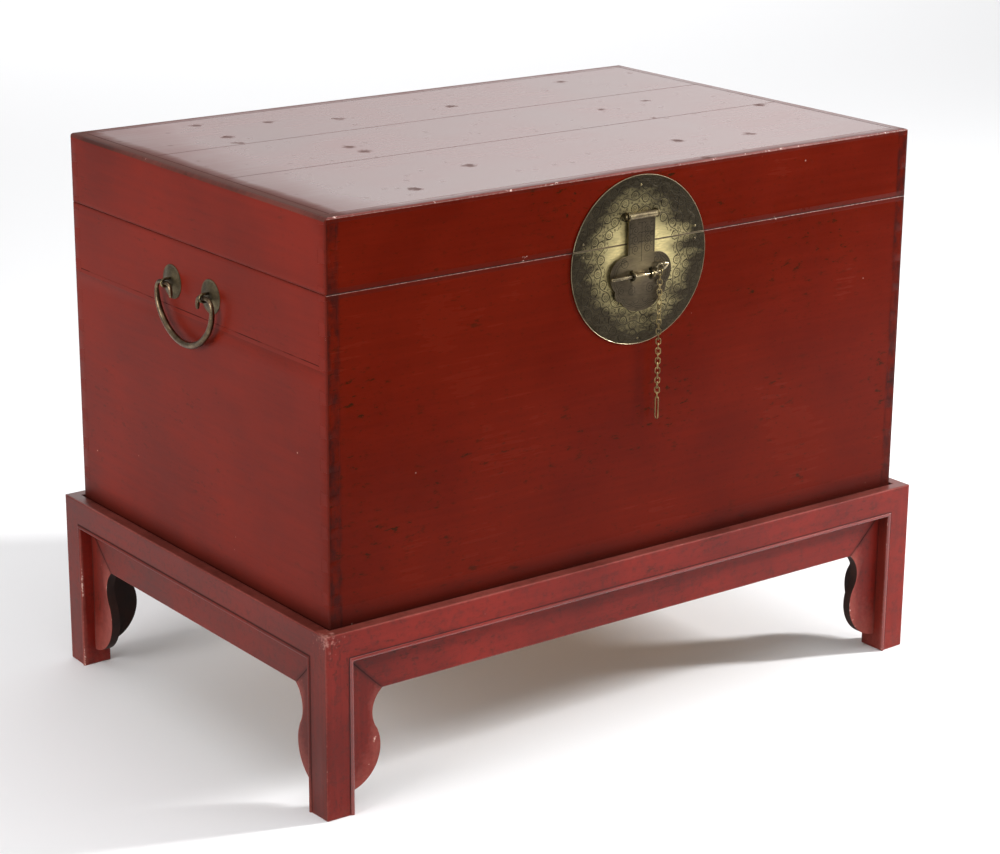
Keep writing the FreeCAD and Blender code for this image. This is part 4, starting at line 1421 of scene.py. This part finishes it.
# %% [markdown]
# Small domed nails hold the lock plate and the hinge leaves. The base mesh is a bare set of points, one
# for each nail, and the tree puts a flattened ball on each. The back half of the ball is hidden in the
# brass, so a dome is all that shows.

# %% Nails
PLATE_NAIL, HINGE_NAIL = 1.5 * MM, 2.0 * MM
UPPER_NAILS = ((-77.5, 565), (77.5, 565), (0, 620))
LOWER_NAILS = ((-77.5, 550.6), (77.5, 550.6), (0, 451))
HINGE_X, HINGE_Z, LEAF_FACE = 250, 557.5, 262.1
LEAF_NAILS = ((-22, 16), (22, 16), (0, 33), (-22, 33), (22, 33))

nail_recipe = Recipe("nails", Head="Float")
given, step = nail_recipe.given, nail_recipe.step
dome = step("GeometryNodeMeshUVSphere", {"Segments": 14, "Rings": 8, "Radius": given["Head"]})[0]
flat_dome = step("GeometryNodeTransform", {"Geometry": dome, "Scale": (1, 0.5, 1)})[0]
head = step("GeometryNodeSetShadeSmooth", {"Geometry": flat_dome})[0]
nail_recipe.end(step("GeometryNodeInstanceOnPoints", {"Points": given["Geometry"], "Instance": head})[0])


def nails(name, places, face, head, body):
    """Nail heads on a face, at pairs of X and height in mm."""
    base = bpy.data.meshes.new(name)
    base.from_pydata([Vector((x, face, z)) * MM for x, z in places], [], [])
    mesh = nail_recipe.made(name, base, {"Head": head, "Finish": aged_brass})
    add_piece(name, mesh, body, "aged_brass")
    print(name, "are", len(places))


lid_nails = [(side * HINGE_X + x, HINGE_Z + z) for side in (-1, 1) for x, z in LEAF_NAILS]
trunk_nails = [(x, 2 * HINGE_Z - z) for x, z in lid_nails]
nails("plate_nails_upper", UPPER_NAILS, plate_low.y / MM, PLATE_NAIL, "lid")
nails("plate_nails_lower", LOWER_NAILS, plate_low.y / MM, PLATE_NAIL, "trunk")
nails("hinge_nails_upper", lid_nails, LEAF_FACE, HINGE_NAIL, "lid")
nails("hinge_nails_lower", trunk_nails, LEAF_FACE, HINGE_NAIL, "trunk")

# %% [markdown]
# The rim of the lock plate is filed round and rubbed bright, and so is the cut that parts its halves. A
# thin wire along each outline catches the light the way that rim does.

# %% Rims of the lock plate
RIM_WIRE = 0.32 * MM
RIM_SUNK = 0.4
CUT_GAP = 0.4 * MM


def half_rim(side):
    """The outline of one half; side is 1 for the upper and -1 for the lower."""
    radius = PLATE_RADIUS - RIM_WIRE
    cut = SPLIT + side * (CUT_GAP + RIM_WIRE) - plate_centre.z
    start = math.asin(cut / radius)
    end = side * math.pi - start
    middle = Vector((0, plate_centre.y + RIM_WIRE * RIM_SUNK, plate_centre.z))
    return drawn(arc(middle, radius, RIGHT, UP, start, end, 96), RIM_WIRE, 8, True)


fitting("plate_rim_upper", rim_brass, [half_rim(1)], "lid")
fitting("plate_rim_lower", rim_brass, [half_rim(-1)], "trunk")

# %% [markdown]
# The plate and hasp are engraved with a scrolling vine, a pattern far older than any one maker. An
# engraver cuts one motif and repeats it round the plate. So does the tree: strokes of a single motif
# become fine flat lines, copies are turned round the centre, and what lies on the other half of the plate
# is deleted. The lines are dark, because the cuts have filled with dirt.

# %% Recipe of the engraving
CUT_MARGIN = 1.2 * MM

engraving_recipe = Recipe(
    "engraving", Count="Int", Width="Float", Depth="Float", Centre="Vector", Cut="Float", Side="Float"
)
given, step, maths = engraving_recipe.given, engraving_recipe.step, engraving_recipe.maths
stroke = step("GeometryNodeMeshToCurve", {"Mesh": given["Geometry"]})[0]
level = step("GeometryNodeSetCurveNormal", {"Curve": stroke}, mode="Z_UP")[0]
size = {"Width": given["Width"], "Height": given["Depth"]}
flat = step("GeometryNodeCurvePrimitiveQuadrilateral", size)[0]
line = step("GeometryNodeCurveToMesh", {"Curve": level, "Profile Curve": flat, "Fill Caps": True})[0]

number = step("GeometryNodeInputIndex", {})[0]
angle = maths("MULTIPLY", number, maths("DIVIDE", 2 * math.pi, given["Count"]))
turn = step("ShaderNodeCombineXYZ", {"Z": angle})[0]
dots = step("GeometryNodePoints", {"Count": given["Count"]})[0]
copies = step("GeometryNodeInstanceOnPoints", {"Points": dots, "Instance": line, "Rotation": turn})[0]
real = step("GeometryNodeRealizeInstances", {"Geometry": copies})[0]
stand_up = {"Geometry": real, "Rotation": (math.pi / 2, 0, 0), "Translation": given["Centre"]}
upright = step("GeometryNodeTransform", stand_up)[0]

where = step("GeometryNodeInputPosition", {})[0]
height = step("ShaderNodeSeparateXYZ", {"Vector": where})["Z"]
on_side = maths("MULTIPLY", maths("SUBTRACT", height, given["Cut"]), given["Side"])
beyond = maths("LESS_THAN", on_side, CUT_MARGIN)
own_half = step("GeometryNodeDeleteGeometry", {"Geometry": upright, "Selection": beyond}, domain="FACE")[0]
engraving_recipe.end(own_half)

# %% [markdown]
# The motif is drawn flat, in mm, as a length of vine that runs from left to right: a wave of two lines,
# and in each of its two bays a scroll with petals, curls and leaves round it.

# %% Vine
MOTIF = 64.6
BAY = MOTIF / 4
WAVE, WAVE_HALF = 6.5, 0.8
PETALS, PETAL_STEP, PETAL_OUT = 7, 34, 9.2


def spiral(centre, outer, inner, start, turns, steps=24):
    """A flat scroll that winds inwards, as pairs in mm."""
    scroll = []
    for share in np.linspace(0, 1, steps):
        radius = outer + (inner - outer) * share
        angle = start + turns * 2 * math.pi * share
        scroll.append((centre[0] + radius * math.cos(angle), centre[1] + radius * math.sin(angle)))
    return scroll


def petals(heart, side):
    """Double bows that stand round the outer side of a scroll."""
    strokes = []
    for k in range(PETALS):
        lean = -90 * side + (k - PETALS // 2) * PETAL_STEP
        petal = bow(heart, PETAL_OUT, lean, lean, 1)[0]
        strokes.append(bow(petal, 2.7, lean - 100, lean + 100))
        strokes.append(bow(petal, 1.2, lean - 80, lean + 80, 6))
    return strokes


def vine_motif():
    """One length of vine: a wave, a scroll in each bay with petals round it, leaves and curls."""
    along = np.linspace(-MOTIF / 2, MOTIF / 2, 18)
    wave = [(t, WAVE * math.sin(2 * math.pi * t / MOTIF)) for t in along]
    strokes = [[(t, out + shift) for t, out in wave] for shift in (-WAVE_HALF, WAVE_HALF)]
    for side in (-1, 1):
        heart = (side * BAY, -side * 4.5)
        strokes.append(spiral(heart, 6.8, 0.8, side * math.pi / 2, side * 1.7))
        strokes += petals(heart, side)
        for hand in (-1, 1):
            curl = (side * BAY + hand * 11.5, side * 11.0)
            strokes.append(spiral(curl, 3.4, 0.7, -side * math.pi / 2, -hand * 1.3, 12))
            leaf_bow = (side * BAY + hand * 4.5, side * 13.0)
            strokes.append(bow(leaf_bow, 4.2, 195 - hand * 5, 345 - hand * 5))
    for tip in (-1, 1):
        for bulge in (6, -6):
            leaf_side = [(1.2 + 8 * u, -3 - 9 * u + bulge * u * (1 - u)) for u in np.linspace(0, 1, 8)]
            strokes.append([(tip * t, tip * out) for t, out in leaf_side])
    return strokes


print("strokes in the vine:", len(vine_motif()))

# %% [markdown]
# The plate has three rings of vine, finer towards the middle. The motif is bent round the plate to the
# length of one share of its ring, and the tree turns the copies. Each half of the plate rides on its own
# body, so each half gets its own mesh.

# %% Engraving on the plate
VINE_RINGS = ((55.5, 12), (69.5, 15), (83.5, 18))
LINES = {"Width": 0.46 * MM, "Depth": 0.12 * MM, "Finish": dark_line}


def wrapped(strokes, radius, count):
    """The motif bent round the plate, as long as one of that many shares of the ring."""
    size = 2 * math.pi * radius / count / MOTIF
    bent = []
    for one in strokes:
        turned = [(math.pi / 2 - t * size / radius, radius + out * size) for t, out in one]
        bent.append([Vector((r * math.cos(a), r * math.sin(a), 0)) * MM for a, r in turned])
    return bent


def engraved_half(side):
    """The engraving of one half of the plate; side is 1 for the upper and -1 for the lower."""
    made = bmesh.new()
    for radius, count in VINE_RINGS:
        vine = lines_mesh("vine motif", wrapped(vine_motif(), radius, count))
        place = {"Count": count, "Centre": plate_centre, "Cut": SPLIT, "Side": side}
        made.from_mesh(engraving_recipe.made("ring of vine", vine, LINES | place))
    mesh = bpy.data.meshes.new("engraving")
    made.to_mesh(mesh)
    mesh.materials.append(dark_line)
    return mesh


for name, side, body in (("plate_engraving_upper", 1.0, "lid"), ("plate_engraving_lower", -1.0, "trunk")):
    mesh = engraved_half(side)
    add_piece(name, mesh, body, "aged_brass")
    print(name, "faces:", len(mesh.polygons))

# %% [markdown]
# The hasp has its own drawing: a stem with scrolls on the strap, and two lines that follow the
# cloud-shaped head. The same tree makes it, with a count of one and no cut.

# %% Engraving on the hasp
hasp_low, hasp_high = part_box("hasp")
HASP_FACE = -265.3 * MM
STRAP_FOOT, STRAP_TOP, STRAP_HALF = 545.0, 582.0, 16.6
STRAP_SCROLLS = (551.0, 561.5, 572.0)
HEAD_HALF, HEAD_HEIGHT = (hasp_high.x - hasp_low.x) / 2 / MM, STRAP_FOOT - hasp_low.z / MM
HEAD_MIDDLE = 0.48
CLOUD = [
    (0.52, 0.03), (0.74, 0.05), (0.90, 0.16), (0.97, 0.32), (0.93, 0.48), (0.83, 0.59), (0.84, 0.68),
    (0.76, 0.77), (0.64, 0.79), (0.56, 0.88), (0.42, 0.92), (0.32, 0.91), (0.18, 0.96), (0.0, 0.99),
]


def cloud_line(inset):
    """The head's outline drawn that share smaller, from the right shoulder round to the left one."""
    drops = [(x * inset, HEAD_MIDDLE + (z - HEAD_MIDDLE) * inset) for x, z in CLOUD]
    half = [(x * HEAD_HALF, STRAP_FOOT - z * HEAD_HEIGHT) for x, z in drops]
    return half + [(-x, z) for x, z in reversed(half[:-1])]


hasp_strokes = [cloud_line(0.93), cloud_line(0.86), [(0, STRAP_FOOT - 8), (0, STRAP_TOP - 1)]]
for side in (-1, 1):
    hasp_strokes.append([(side * STRAP_HALF, STRAP_FOOT + 1), (side * STRAP_HALF, STRAP_TOP)])
    for z in STRAP_SCROLLS:
        hasp_strokes.append(spiral((side * 8.6, z), 5.2, 0.7, math.pi - side * math.pi / 2, side * 1.6, 26))
        hasp_strokes.append(bow((side * 2.6, z + 5.5), 2.6, 90 - side * 90, 90 + side * 60))
        hasp_strokes.append(bow((side * 14.2, z + 5.0), 2.4, 60, 300))
    hasp_strokes.append(spiral((side * 22.0, 537.0), 6.5, 0.8, math.pi / 2, -side * 1.6))
    hasp_strokes.append(spiral((side * 13.0, 506.0), 6.0, 0.8, math.pi / 2, side * 1.6))
    hasp_strokes.append(spiral((side * 26.5, 508.0), 4.6, 0.8, math.pi / 2, -side * 1.5))
    hasp_strokes.append(bow((side * 6.5, 495.0), 4.0, 180, 360))
hasp_lines = lines_mesh("hasp drawing", [[Vector((x, z, 0)) * MM for x, z in one] for one in hasp_strokes])
place = {"Count": 1, "Centre": Vector((0, HASP_FACE, 0)), "Cut": 0.0, "Side": 1.0}
hasp_mesh = engraving_recipe.made("hasp_engraving", hasp_lines, LINES | place)
add_piece("hasp_engraving", hasp_mesh, "hasp", "aged_brass")
print("strokes on the hasp:", len(hasp_strokes))

# %% [markdown]
